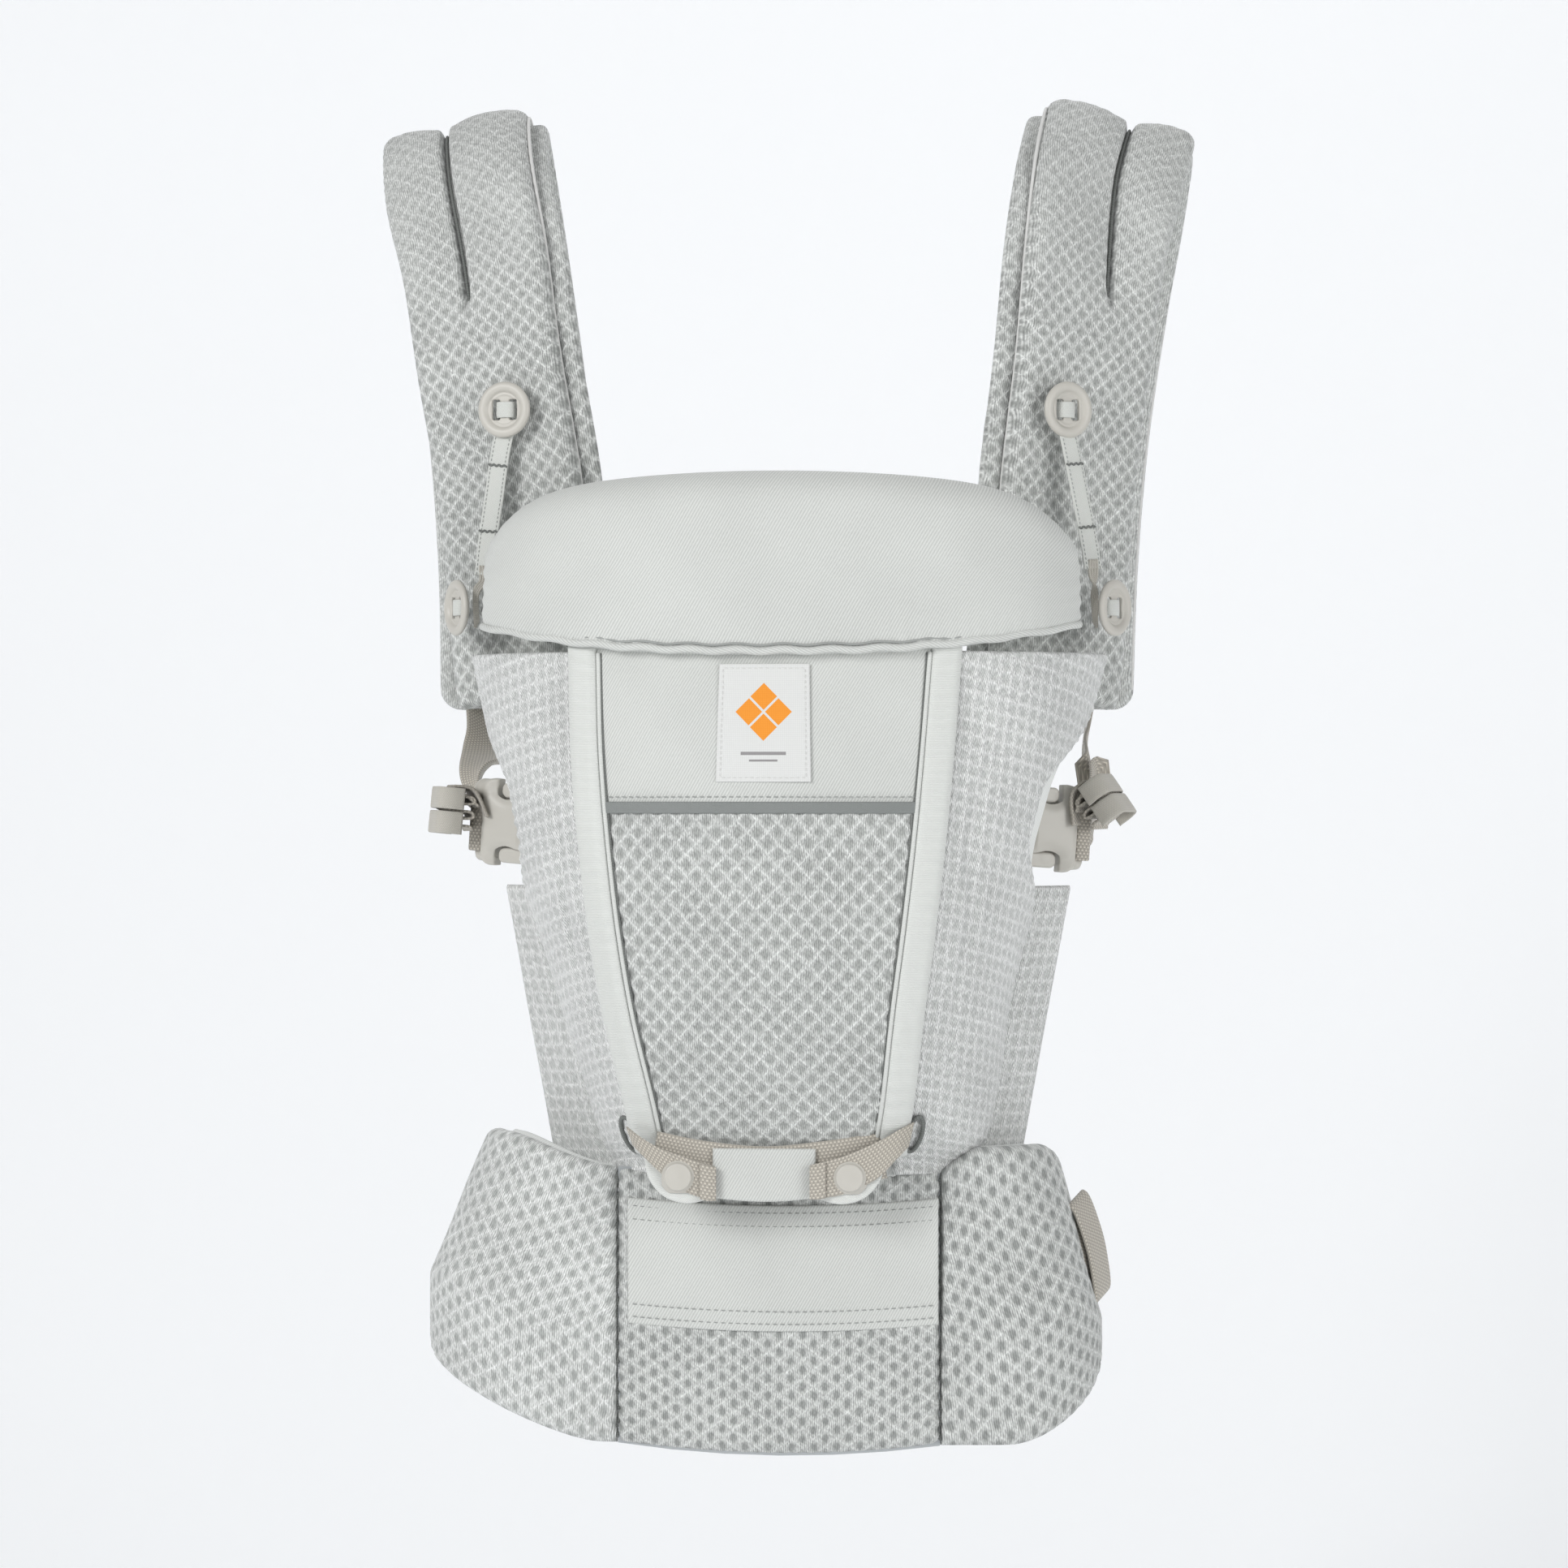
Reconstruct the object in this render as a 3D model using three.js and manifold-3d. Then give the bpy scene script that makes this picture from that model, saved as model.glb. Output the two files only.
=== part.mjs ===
// A soft baby carrier: a padded waist belt, a front panel that cups the child, a
// folding head support, two padded shoulder straps and their buckles and buttons.
// Millimetres, +Z up, +X to the viewer's right, the front of the carrier faces -Y.
// The origin is the centre of the flat inner face of the belt.
import * as THREE from 'three';
import { mergeVertices } from 'three/addons/utils/BufferGeometryUtils.js';
import Module from 'manifold-3d';

const wasm = await Module();
wasm.setup();

// ---- driving dimensions ----

const GAP = 0.4; // between neighbouring pieces

const BELT = {
  seam: { left: -88, right: 82 },
  top: 75,
  bottomMiddle: -76,
  bottomSeam: -70,
  lining: 3,
  foam: 14,
  cover: 4,
  wingPad: 12,
  wingLining: 4,
  bandTop: 57,
  bandBottom: -9,
  bandThick: 2,
};
const WING = {
  left: { side: -1, radius: 69, flare: 38, straight: 76 },
  right: { side: 1, radius: 58, flare: 24, straight: 76 },
};

// front panel stations: height, left and right edge, front and edge depth, the two seams
const PANEL_STATIONS = [
  [78, -94, 98, -33, 5, -68, 57],
  [88, -99, 104, -46, 6, -70, 58],
  [112, -106, 110, -63, 7, -74, 62],
  [158, -119, 118, -83, 9, -83, 68],
  [200, -132, 129, -94, 11, -89, 74],
  [240, -146, 141, -100, 13, -93, 79],
  [290, -157, 156, -101, 15, -97, 84],
  [343, -167, 170, -94, 18, -99, 88],
];
const PANEL_BOTTOM = 78;
const PANEL_TOP = 343;
const PANEL_EDGE = 0.96; // share of the quarter turn at which the panel's side ends
const PANEL_THICK = 4;
const LINING_THICK = 2;
const STRIP = { bottom: 262, top: 268, thick: 1.2 };
const FACET_GAP = 1.6; // between two curved layers, which meet only in flat facets
const BINDING = { width: 15, thick: 2.5, lift: 1.2, bottom: 92 };
const LABEL = { width: 48, bottom: 277, height: 60, thick: 0.8, centre: -4 };

const PILLOW = {
  left: -161,
  right: 159,
  front: -99,
  edge: -8,
  thick: 30,
  bottom: 346,
  top: 437,
};

// a flap of the seat behind each side panel: it overlaps the panel and reaches out and back
const SEAT_WING = {
  bottom: 92,
  top: 216,
  overlap: 12,
  outerBottom: 130,
  outerTop: 153,
  clear: 7,
  rear: 38,
  thick: 4,
  rightInset: 6,
};

const STRAP = { width: 82, thick: 22 };
// front bottom, front middle, front top, shoulder, rear top, rear middle, rear end
const STRAP_PATHS = {
  left: {
    turnFront: 15,
    turnRear: 12,
    points: [
      [-139, 14, 346],
      [-147, 15, 432],
      [-159, 19, 500],
      [-168, 28, 556],
      [-178, 45, 600],
      [-185, 82, 628],
      [-184, 120, 598],
      [-178, 140, 540],
      [-170, 147, 470],
      [-165, 148, 400],
      [-163, 145, 318],
    ],
  },
  right: {
    turnFront: 34,
    turnRear: 12,
    points: [
      [139, 15, 346],
      [145, 17, 432],
      [153, 21, 500],
      [159, 30, 556],
      [165, 46, 600],
      [172, 83, 628],
      [168, 120, 598],
      [158, 140, 540],
      [148, 147, 470],
      [142, 148, 400],
      [139, 145, 318],
    ],
  },
};

const BUTTON = { radius: 15, rim: 4, web: 1.6, hole: 3.2, holeSpacing: 9 };
const STRAP_BUTTONS = {
  left: { at: [-149, -3, 474], turn: -16 },
  right: { at: [147, -6, 472], turn: 36 },
};
const SIDE_BUTTONS = {
  left: { at: [-172, -12, 369], turn: -60 },
  right: { at: [171, -13, 368], turn: 58 },
};
const TAPE = { width: 11, thick: 1.2 };
const TAPE_PATHS = {
  left: [
    [-152, -3, 456],
    [-154, -4, 430],
    [-157, -8, 404],
    [-158, -12, 390],
  ],
  right: [
    [150, -8, 454],
    [153, -10, 430],
    [157, -12, 404],
    [159, -15, 390],
  ],
};

// a side-release buckle, along its slide, across it and through it
const BUCKLE = { length: 38, width: 50, thick: 12, pocket: 25, wall: 2.2, corner: 6, rail: 4 };
const THUMB = { radius: 9, centre: 7 };
const BUCKLE_SLOTS = { half: 13.5, width: 2.6, starts: [28, 33.5] };
const PLUG = { length: 15, corner: 4, slotStart: -12.5, slotEnd: -9.5 };
const PRONG = { root: 0.2, elbow: 10, shoulder: 14, tip: 19, edgeInset: 5 };
const SIDE_BUCKLES = {
  left: { mouth: [-136, 20, 254], turn: 155, lean: 4 },
  right: { mouth: [122, 20, 254], turn: 25, lean: -4 },
};
const SIDE_BUCKLE_SIZE = 0.93;
const SIDE_WEBBING = { width: 25, thick: 1.8, clear: 6.5, outset: 20 };
const TAIL = { length: 17, width: 24, thick: 15, corner: 5, rise: { left: 8, right: 15 } };
const WAIST = { webbing: 38, thick: 2, rear: 190, height: 22 };
const WAIST_ROLL = { length: 60, width: 30, thick: 11, corner: 4 };
const CHEST = { height: 404, webbing: 20, thick: 1.6, depth: 169 };

const SNAP = { radius: 7.2, thick: 2.4, height: 73 };
const TAB = {
  front: -52,
  centre: -7.5,
  half: 54,
  snapOffset: 44.5,
  bottom: 58,
  top: 84,
  thick: 2,
  lift: 4.4,
  seamHeight: 100,
};
const TAB_WEBBING = { width: 18, thick: 1.8 };

// ---- colours ----

const COLOURS = {
  mesh: [0xd3d6d2, 0.9],
  twill: [0xdfe1dd, 0.85],
  satin: [0xe3e5e1, 0.55],
  webbing: [0xc9c4b8, 0.8],
  plastic: [0xc9c7be, 0.45],
  foam: [0xbfc3c4, 0.95],
  strip: [0x9fa3a4, 0.4],
  label: [0xf4f4f2, 0.8],
};

const carrier = new THREE.Group();

function addPiece(name, geometry, slot) {
  const [color, roughness] = COLOURS[slot];
  const material = new THREE.MeshStandardMaterial({ color, roughness, metalness: 0 });
  const mesh = new THREE.Mesh(facingOut(geometry), material);
  mesh.name = name;
  carrier.add(mesh);
}

// ---- geometry helpers ----

function bareCopy(geometry) {
  const bare = geometry.clone();
  bare.deleteAttribute('normal');
  bare.deleteAttribute('uv');
  return mergeVertices(bare, 1e-4);
}

// the same closed mesh with its faces turned outwards
function facingOut(geometry) {
  const bare = bareCopy(geometry);
  const index = bare.index.array;
  const corners = [0, 1, 2].map(() => new THREE.Vector3());
  let volume = 0;
  for (let i = 0; i < index.length; i += 3) {
    corners.forEach((corner, n) => corner.fromBufferAttribute(bare.attributes.position, index[i + n]));
    volume += corners[0].dot(corners[1].clone().cross(corners[2]));
  }
  if (volume < 0) {
    for (let i = 0; i < index.length; i += 3) {
      [index[i], index[i + 1]] = [index[i + 1], index[i]];
    }
  }
  bare.computeVertexNormals();
  return bare;
}

function toSolid(geometry) {
  const bare = facingOut(geometry);
  bare.deleteAttribute('normal');
  const mesh = new wasm.Mesh({
    numProp: 3,
    vertProperties: new Float32Array(bare.attributes.position.array),
    triVerts: new Uint32Array(bare.index.array),
  });
  return new wasm.Manifold(mesh);
}

function toGeometry(solid) {
  const mesh = solid.getMesh();
  const geometry = new THREE.BufferGeometry();
  geometry.setAttribute('position', new THREE.BufferAttribute(mesh.vertProperties, 3));
  geometry.setIndex(new THREE.BufferAttribute(mesh.triVerts, 1));
  return geometry;
}

function bend(geometry, place) {
  const bent = geometry.clone();
  const position = bent.attributes.position;
  const point = new THREE.Vector3();
  for (let i = 0; i < position.count; i += 1) {
    point.fromBufferAttribute(position, i);
    const moved = place(point);
    position.setXYZ(i, moved.x, moved.y, moved.z);
  }
  return bent;
}

// a layer over a surface: place(u, v, w) has u and v from 0 to 1 and w in millimetres
function layer(columns, rows, inside, outside, place) {
  const slab = new THREE.BoxGeometry(1, 1, 1, columns, rows, 1);
  return bend(slab, (p) => place(p.x + 0.5, p.y + 0.5, THREE.MathUtils.lerp(inside, outside, p.z + 0.5)));
}

function roundedRectangle(width, height, radius) {
  const [w, h, r] = [width / 2, height / 2, radius];
  const shape = new THREE.Shape();
  shape.absarc(w - r, h - r, r, 0, Math.PI / 2);
  shape.absarc(r - w, h - r, r, Math.PI / 2, Math.PI);
  shape.absarc(r - w, r - h, r, Math.PI, 1.5 * Math.PI);
  shape.absarc(w - r, r - h, r, 1.5 * Math.PI, 2 * Math.PI);
  return shape;
}

function plate(shape, thick, curveSegments = 2) {
  const geometry = new THREE.ExtrudeGeometry(shape, {
    depth: thick,
    bevelEnabled: false,
    curveSegments,
  });
  return geometry.translate(0, 0, -thick / 2);
}

function block(xs, ys, zs) {
  const geometry = new THREE.BoxGeometry(xs[1] - xs[0], ys[1] - ys[0], zs[1] - zs[0]);
  return geometry.translate((xs[0] + xs[1]) / 2, (ys[0] + ys[1]) / 2, (zs[0] + zs[1]) / 2);
}

function curveThrough(points) {
  return new THREE.CatmullRomCurve3(points.map((p) => new THREE.Vector3(...p)), false, 'centripetal');
}

// a flat or padded band along a curve; widthAt(t) is the direction of its width
function band(curve, shape, steps, widthAt, shrinkAt = () => 1) {
  const run = new THREE.ExtrudeGeometry(shape, { depth: 1, steps, bevelEnabled: false, curveSegments: 1 });
  return bend(run, (p) => {
    const t = THREE.MathUtils.clamp(p.z, 0, 1);
    const tangent = curve.getTangentAt(t);
    const across = widthAt(t).clone();
    across.addScaledVector(tangent, -across.dot(tangent)).normalize();
    const outward = across.clone().cross(tangent);
    const shrink = shrinkAt(t);
    return curve.getPointAt(t).addScaledVector(across, p.x * shrink).addScaledVector(outward, p.y * shrink);
  });
}

function placeAt(geometry, origin, slideAxis, normalAxis) {
  const slide = slideAxis.clone().normalize();
  const normal = normalAxis.clone().addScaledVector(slide, -normalAxis.dot(slide)).normalize();
  const across = normal.clone().cross(slide);
  const matrix = new THREE.Matrix4().makeBasis(slide, across, normal).setPosition(...origin);
  return geometry.clone().applyMatrix4(matrix);
}

function degrees(angle) {
  return THREE.MathUtils.degToRad(angle);
}

// ---- waist belt ----

function beltBottom(share) {
  const swing = 2 * share - 1;
  return THREE.MathUtils.lerp(BELT.bottomMiddle, BELT.bottomSeam, swing * swing);
}

function beltCentreLayer(columns, front, back) {
  const { left, right } = BELT.seam;
  return layer(columns, 2, back, front, (u, v, w) => {
    const x = THREE.MathUtils.lerp(left + GAP, right - GAP, u);
    return new THREE.Vector3(x, w, THREE.MathUtils.lerp(beltBottom(u), BELT.top, v));
  });
}

function beltLevels() {
  const lining = -BELT.lining;
  const foam = lining - GAP - BELT.foam;
  return { lining, foam, cover: foam - GAP - BELT.cover };
}

function beltBand() {
  const { left, right } = BELT.seam;
  const back = beltLevels().cover - GAP;
  return layer(6, 1, back, back - BELT.bandThick, (u, v, w) => {
    const x = THREE.MathUtils.lerp(left + 7, right - 3, u);
    return new THREE.Vector3(x, w, THREE.MathUtils.lerp(BELT.bandBottom, BELT.bandTop, v));
  });
}

// outer face of a wing in plan: a quarter turn, then a straight run that closes in
function wingPlan(wing, share) {
  const quarter = (wing.radius * Math.PI) / 2;
  const length = quarter + wing.straight;
  const run = share * length;
  const start = wing.side < 0 ? BELT.seam.left : BELT.seam.right;
  const front = beltLevels().cover;
  if (run <= quarter) {
    const angle = run / wing.radius;
    return {
      x: start + wing.side * (GAP + wing.radius * Math.sin(angle)),
      y: front + wing.radius * (1 - Math.cos(angle)),
      outX: wing.side * Math.sin(angle),
      outY: -Math.cos(angle),
    };
  }
  const past = (run - quarter) / wing.straight;
  return {
    x: start + wing.side * (GAP + wing.radius - 16 * past * past),
    y: front + wing.radius + past * wing.straight,
    outX: wing.side * Math.cos(0.42 * past),
    outY: Math.sin(0.42 * past),
  };
}

function wingTop(share) {
  const rise = THREE.MathUtils.smoothstep(share, 0.2, 0.55) * 12;
  const drop = THREE.MathUtils.smoothstep(share, 0.6, 1.05) * 50;
  return BELT.top + rise - drop;
}

function wingBottom(share) {
  const rise = THREE.MathUtils.smoothstep(share, 0.05, 0.75) * 58;
  const tip = THREE.MathUtils.smoothstep(share, 0.7, 1) * 10;
  return BELT.bottomSeam + rise + tip;
}

function wingPoint(wing, u, v, depth) {
  const plan = wingPlan(wing, u);
  const top = wingTop(u);
  const z = THREE.MathUtils.lerp(wingBottom(u), top, v);
  const narrowing = 1 - 0.35 * THREE.MathUtils.smoothstep(u, 0.6, 1);
  const spread = THREE.MathUtils.smoothstep(u, 0.05, 0.5) * narrowing;
  const flare = wing.flare * spread * Math.min(1, (top - z) / 92);
  const out = flare - depth;
  return new THREE.Vector3(plan.x + plan.outX * out, plan.y + plan.outY * out, z);
}

function wingLayer(wing, from, to, inset) {
  return layer(14, 4, from, to, (u, v, w) => wingPoint(wing, inset + u * (1 - 2 * inset), v, w));
}

function makeBelt() {
  const level = beltLevels();
  addPiece('belt_center_lining', beltCentreLayer(6, level.lining, 0), 'twill');
  addPiece('belt_center_foam', beltCentreLayer(6, level.foam, level.lining - GAP), 'foam');
  addPiece('belt_center_cover', beltCentreLayer(6, level.cover, level.foam - GAP), 'mesh');
  addPiece('belt_band', beltBand(), 'twill');
  for (const [hand, wing] of Object.entries(WING)) {
    const back = BELT.wingPad + GAP;
    addPiece(`belt_wing_pad_${hand}`, wingLayer(wing, BELT.wingPad, 0, 0.004), 'mesh');
    addPiece(`belt_wing_lining_${hand}`, wingLayer(wing, back + BELT.wingLining, back, 0.012), 'twill');
  }
}

// ---- front panel ----

const stationHeights = PANEL_STATIONS.map((station) => station[0]);
const stationSize = PANEL_STATIONS[0].length - 1;
const stationValues = new Float64Array(PANEL_STATIONS.flatMap((station) => station.slice(1)));
const panelCurve = new THREE.CubicInterpolant(
  stationHeights, stationValues, stationSize, new Float64Array(stationSize));

function panelShape(z) {
  const [left, right, front, edge, seamLeft, seamRight] = panelCurve.evaluate(z);
  return { left, right, front, edge, seamLeft, seamRight };
}

// turn runs from -1 at the left edge to 1 at the right edge
function cupPoint(shape, turn, z) {
  const angle = (turn * Math.PI) / 2;
  const middle = (shape.left + shape.right) / 2;
  const half = (shape.right - shape.left) / 2;
  const reach = Math.pow(Math.max(Math.cos(angle), 0), 0.75);
  const y = shape.edge - (shape.edge - shape.front) * reach;
  return new THREE.Vector3(middle + half * Math.sin(angle), y, z);
}

function cupTurn(shape, x) {
  const middle = (shape.left + shape.right) / 2;
  const half = (shape.right - shape.left) / 2;
  return (Math.asin(THREE.MathUtils.clamp((x - middle) / half, -1, 1)) * 2) / Math.PI;
}

function panelPoint(turn, z, depth) {
  const step = 0.004;
  const rise = 2;
  const here = cupPoint(panelShape(z), turn, z);
  const alongTurn = cupPoint(panelShape(z), turn + step, z).sub(cupPoint(panelShape(z), turn - step, z));
  const low = Math.max(PANEL_BOTTOM, z - rise);
  const high = Math.min(PANEL_TOP, z + rise);
  const alongRise = cupPoint(panelShape(high), turn, high).sub(cupPoint(panelShape(low), turn, low));
  const outward = alongTurn.cross(alongRise).normalize();
  outward.z = 0;
  outward.normalize();
  return here.addScaledVector(outward, -depth);
}

function seamTurn(z, hand, shift) {
  const shape = panelShape(z);
  return cupTurn(shape, (hand === 'left' ? shape.seamLeft : shape.seamRight) + shift);
}

function panelLayer(columns, rows, heights, turns, depths) {
  return layer(columns, rows, depths[1], depths[0], (u, v, w) => {
    const z = THREE.MathUtils.lerp(heights[0], heights[1], v);
    const turn = THREE.MathUtils.lerp(turns[0](z), turns[1](z), u);
    return panelPoint(turn, z, w);
  });
}

function makePanel() {
  const centre = [(z) => seamTurn(z, 'left', 0.8), (z) => seamTurn(z, 'right', -0.8)];
  const depth = [0, PANEL_THICK];
  const proud = [-BINDING.lift - BINDING.thick, -BINDING.lift];
  addPiece('panel_mesh_center', panelLayer(8, 9, [PANEL_BOTTOM, STRIP.bottom - 1], centre, depth), 'mesh');
  addPiece('panel_top_twill', panelLayer(8, 4, [STRIP.bottom - 0.4, PANEL_TOP], centre, depth), 'twill');
  const within = [(z) => seamTurn(z, 'left', 9), (z) => seamTurn(z, 'right', -9)];
  const stripDepth = [-GAP - STRIP.thick, -GAP];
  addPiece('reflective_strip', panelLayer(8, 1, [STRIP.bottom, STRIP.top], within, stripDepth), 'strip');
  const labelSides = [-0.5, 0.5].map((side) => {
    return (z) => cupTurn(panelShape(z), LABEL.centre + side * LABEL.width);
  });
  const labelRise = [LABEL.bottom, LABEL.bottom + LABEL.height];
  addPiece('label', panelLayer(4, 3, labelRise, labelSides, [-GAP - LABEL.thick, -GAP]), 'label');
  for (const hand of ['left', 'right']) {
    const side = hand === 'left' ? -1 : 1;
    const inner = (z) => seamTurn(z, hand, side * 0.8);
    const outer = () => side * PANEL_EDGE;
    const sidePanel = panelLayer(7, 11, [PANEL_BOTTOM, PANEL_TOP], [inner, outer], depth);
    addPiece(`side_panel_${hand}`, sidePanel, 'mesh');
    const half = BINDING.width / 2;
    const edges = [(z) => seamTurn(z, hand, -half), (z) => seamTurn(z, hand, half)];
    addPiece(`binding_${hand}`, panelLayer(3, 11, [BINDING.bottom, PANEL_TOP], edges, proud), 'satin');
  }
  const edges = [() => -PANEL_EDGE, () => PANEL_EDGE];
  const behind = [PANEL_THICK + FACET_GAP, PANEL_THICK + FACET_GAP + LINING_THICK];
  addPiece('panel_lining', panelLayer(18, 9, [PANEL_BOTTOM, PANEL_TOP], edges, behind), 'twill');
}

// a stiffened wedge behind each side of the seat, that carries the child's thighs
function seatWing(side) {
  const { bottom, top, overlap, outerBottom, outerTop, clear, rear, thick, rightInset } = SEAT_WING;
  return layer(3, 6, 0, thick, (u, v, w) => {
    const z = THREE.MathUtils.lerp(bottom, top, v);
    const shape = panelShape(z);
    const inner = (side < 0 ? -shape.left : shape.right) - overlap;
    const outer = THREE.MathUtils.lerp(outerBottom, outerTop, v) - (side > 0 ? rightInset : 0);
    const x = side * THREE.MathUtils.lerp(inner, outer, u);
    const y = THREE.MathUtils.lerp(shape.edge + clear, rear, Math.pow(u, 1.4));
    return new THREE.Vector3(x, y + w, z);
  });
}

// ---- head support ----

function pillowPoint(turn, rise, depth) {
  const across = Math.sin((turn * Math.PI) / 2);
  const low = PILLOW.bottom + 15 * across * across;
  const high = PILLOW.top - 12 * across * across - 22 * Math.pow(across, 8);
  const z = THREE.MathUtils.lerp(low, high, rise);
  const crown = Math.sin(Math.PI * rise);
  const front = PILLOW.front + 5 * (1 - crown);
  const shape = { left: PILLOW.left, right: PILLOW.right, front, edge: PILLOW.edge };
  const point = cupPoint(shape, turn, z);
  const step = 0.01;
  const along = cupPoint(shape, turn + step, z).sub(cupPoint(shape, turn - step, z));
  const outward = new THREE.Vector3(along.y, -along.x, 0).normalize();
  const thick = 0.45 + 0.55 * crown;
  return point.addScaledVector(outward, -depth * thick);
}

function makePillow() {
  const turn = (u) => (2 * u - 1) * 0.93;
  addPiece('head_pillow', layer(16, 5, PILLOW.thick, 0, (u, v, w) => pillowPoint(turn(u), v, w)), 'twill');
  for (const [hand, points] of Object.entries(TAPE_PATHS)) {
    const turnSide = degrees(STRAP_BUTTONS[hand].turn);
    const width = new THREE.Vector3(Math.cos(turnSide), Math.sin(turnSide), 0);
    addPiece(`pillow_tape_${hand}`, flatRun(points, TAPE.width, TAPE.thick, 6, () => width), 'twill');
  }
}

// ---- shoulder straps ----

function strapWidthAt(path) {
  const sign = path.points[0][0] < 0 ? 1 : -1;
  return (t) => {
    const along = THREE.MathUtils.smoothstep(t, 0.2, 0.8);
    const turn = degrees(THREE.MathUtils.lerp(path.turnFront, -path.turnRear, along));
    return new THREE.Vector3(Math.cos(turn), -sign * Math.sin(turn), 0);
  };
}

function makeStraps() {
  const shape = roundedRectangle(STRAP.width, STRAP.thick, 8);
  for (const [hand, path] of Object.entries(STRAP_PATHS)) {
    addPiece(`shoulder_pad_${hand}`, band(curveThrough(path.points), shape, 26, strapWidthAt(path)), 'mesh');
  }
}

// ---- buttons ----

function buttonGeometry() {
  const profile = [
    [0, 0],
    [BUTTON.radius - 1, 0],
    [BUTTON.radius, 1.2],
    [BUTTON.radius - 1.2, BUTTON.rim],
    [BUTTON.radius - 3.6, BUTTON.rim],
    [BUTTON.radius - 5, BUTTON.web],
    [0, BUTTON.web],
  ].map(([r, h]) => new THREE.Vector2(r, h));
  let disc = toSolid(new THREE.LatheGeometry(profile, 20).rotateX(Math.PI / 2));
  for (const side of [-1, 1]) {
    const x = (side * BUTTON.holeSpacing) / 2;
    const slot = block([x - BUTTON.hole / 2, x + BUTTON.hole / 2], [-5, 5], [-3, BUTTON.rim + 3]);
    disc = disc.subtract(toSolid(slot));
  }
  return toGeometry(disc);
}

function makeButtons() {
  const disc = buttonGeometry();
  for (const [kind, places] of [['strap', STRAP_BUTTONS], ['side', SIDE_BUTTONS]]) {
    for (const [hand, { at, turn }] of Object.entries(places)) {
      const normal = new THREE.Vector3(Math.sin(degrees(turn)), -Math.cos(degrees(turn)), 0);
      addPiece(`${kind}_button_${hand}`, placeAt(disc, at, new THREE.Vector3(0, 0, 1), normal), 'plastic');
    }
  }
}

// ---- buckles: x along the slide from the mouth, y across, z out of the front face ----

function femaleHalf() {
  const { length, width, thick, pocket, wall } = BUCKLE;
  const { rail, corner } = BUCKLE;
  const outline = roundedRectangle(length, width, corner);
  const body = toSolid(plate(outline, thick).translate(length / 2, 0, 0));
  const reach = width / 2 - rail;
  const inside = block([-rail, pocket], [-reach, reach], [wall - thick / 2, thick / 2 - wall]);
  let half = body.subtract(toSolid(inside));
  for (const side of [-1, 1]) {
    const recess = new THREE.CylinderGeometry(THUMB.radius, THUMB.radius, 2 * thick, 12).rotateX(Math.PI / 2);
    half = half.subtract(toSolid(recess.translate(THUMB.centre, (side * width) / 2, 0)));
    const across = side < 0 ? [-width, -reach] : [reach, width];
    half = half.subtract(toSolid(block([-rail, THUMB.centre], across, [-thick, thick])));
  }
  for (const x of BUCKLE_SLOTS.starts) {
    const slot = block([x, x + BUCKLE_SLOTS.width], [-BUCKLE_SLOTS.half, BUCKLE_SLOTS.half], [-thick, thick]);
    half = half.subtract(toSolid(slot));
  }
  return toGeometry(half);
}

function maleHalf() {
  const { width, thick } = BUCKLE;
  const { length, corner, slotStart, slotEnd } = PLUG;
  const outline = roundedRectangle(length, width - 6, corner);
  const base = toSolid(plate(outline, thick - 2).translate(-length / 2 - GAP, 0, 0));
  const slot = block([slotStart, slotEnd], [-BUCKLE_SLOTS.half, BUCKLE_SLOTS.half], [-thick, thick]);
  return toGeometry(base.subtract(toSolid(slot)));
}

function prong(side) {
  const { root: base, elbow, shoulder, tip, edgeInset } = PRONG;
  const edge = BUCKLE.width / 2 - edgeInset;
  const shape = new THREE.Shape([
    new THREE.Vector2(base, edge - 8),
    new THREE.Vector2(shoulder, edge - 6),
    new THREE.Vector2(tip, edge - 5),
    new THREE.Vector2(tip, edge - 2),
    new THREE.Vector2(shoulder, edge),
    new THREE.Vector2(elbow, edge - 3),
    new THREE.Vector2(base, edge - 4),
  ]);
  const arm = plate(shape, BUCKLE.thick - 2 * BUCKLE.wall - 1);
  return side > 0 ? arm : arm.clone().scale(1, -1, 1);
}

function buckleFrames() {
  const frames = {};
  for (const [hand, { mouth, turn, lean }] of Object.entries(SIDE_BUCKLES)) {
    const heading = degrees(turn);
    const slide = new THREE.Vector3(Math.cos(heading), Math.sin(heading), Math.sin(degrees(lean)));
    const normal = new THREE.Vector3(Math.sin(degrees(turn)), -Math.cos(degrees(turn)), 0);
    if (normal.y > 0) {
      normal.negate();
    }
    frames[`side_${hand}`] = { origin: mouth, slide, normal, size: SIDE_BUCKLE_SIZE };
  }
  const back = new THREE.Vector3(0, 1, 0);
  const toLeft = new THREE.Vector3(-1, 0, 0);
  frames.waist = { origin: [4, WAIST.rear, WAIST.height], slide: toLeft, normal: back, size: 1.12 };
  frames.chest = { origin: [4, CHEST.depth, CHEST.height], slide: toLeft, normal: back, size: 0.72 };
  return frames;
}

const FRAMES = buckleFrames();

function inFrame(geometry, frame) {
  const scaled = geometry.clone().scale(frame.size, frame.size, frame.size);
  return placeAt(scaled, frame.origin, frame.slide, frame.normal);
}

function makeBuckles() {
  const female = femaleHalf();
  const male = maleHalf();
  for (const [name, frame] of Object.entries(FRAMES)) {
    addPiece(`${name}_buckle_female`, inFrame(female, frame), 'plastic');
    addPiece(`${name}_buckle_male`, inFrame(male, frame), 'plastic');
    const up = frame.normal.clone().cross(frame.slide).z > 0 ? 1 : -1;
    addPiece(`${name}_prong_upper`, inFrame(prong(up), frame), 'plastic');
    addPiece(`${name}_prong_lower`, inFrame(prong(-up), frame), 'plastic');
  }
}

// ---- webbing ----

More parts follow.
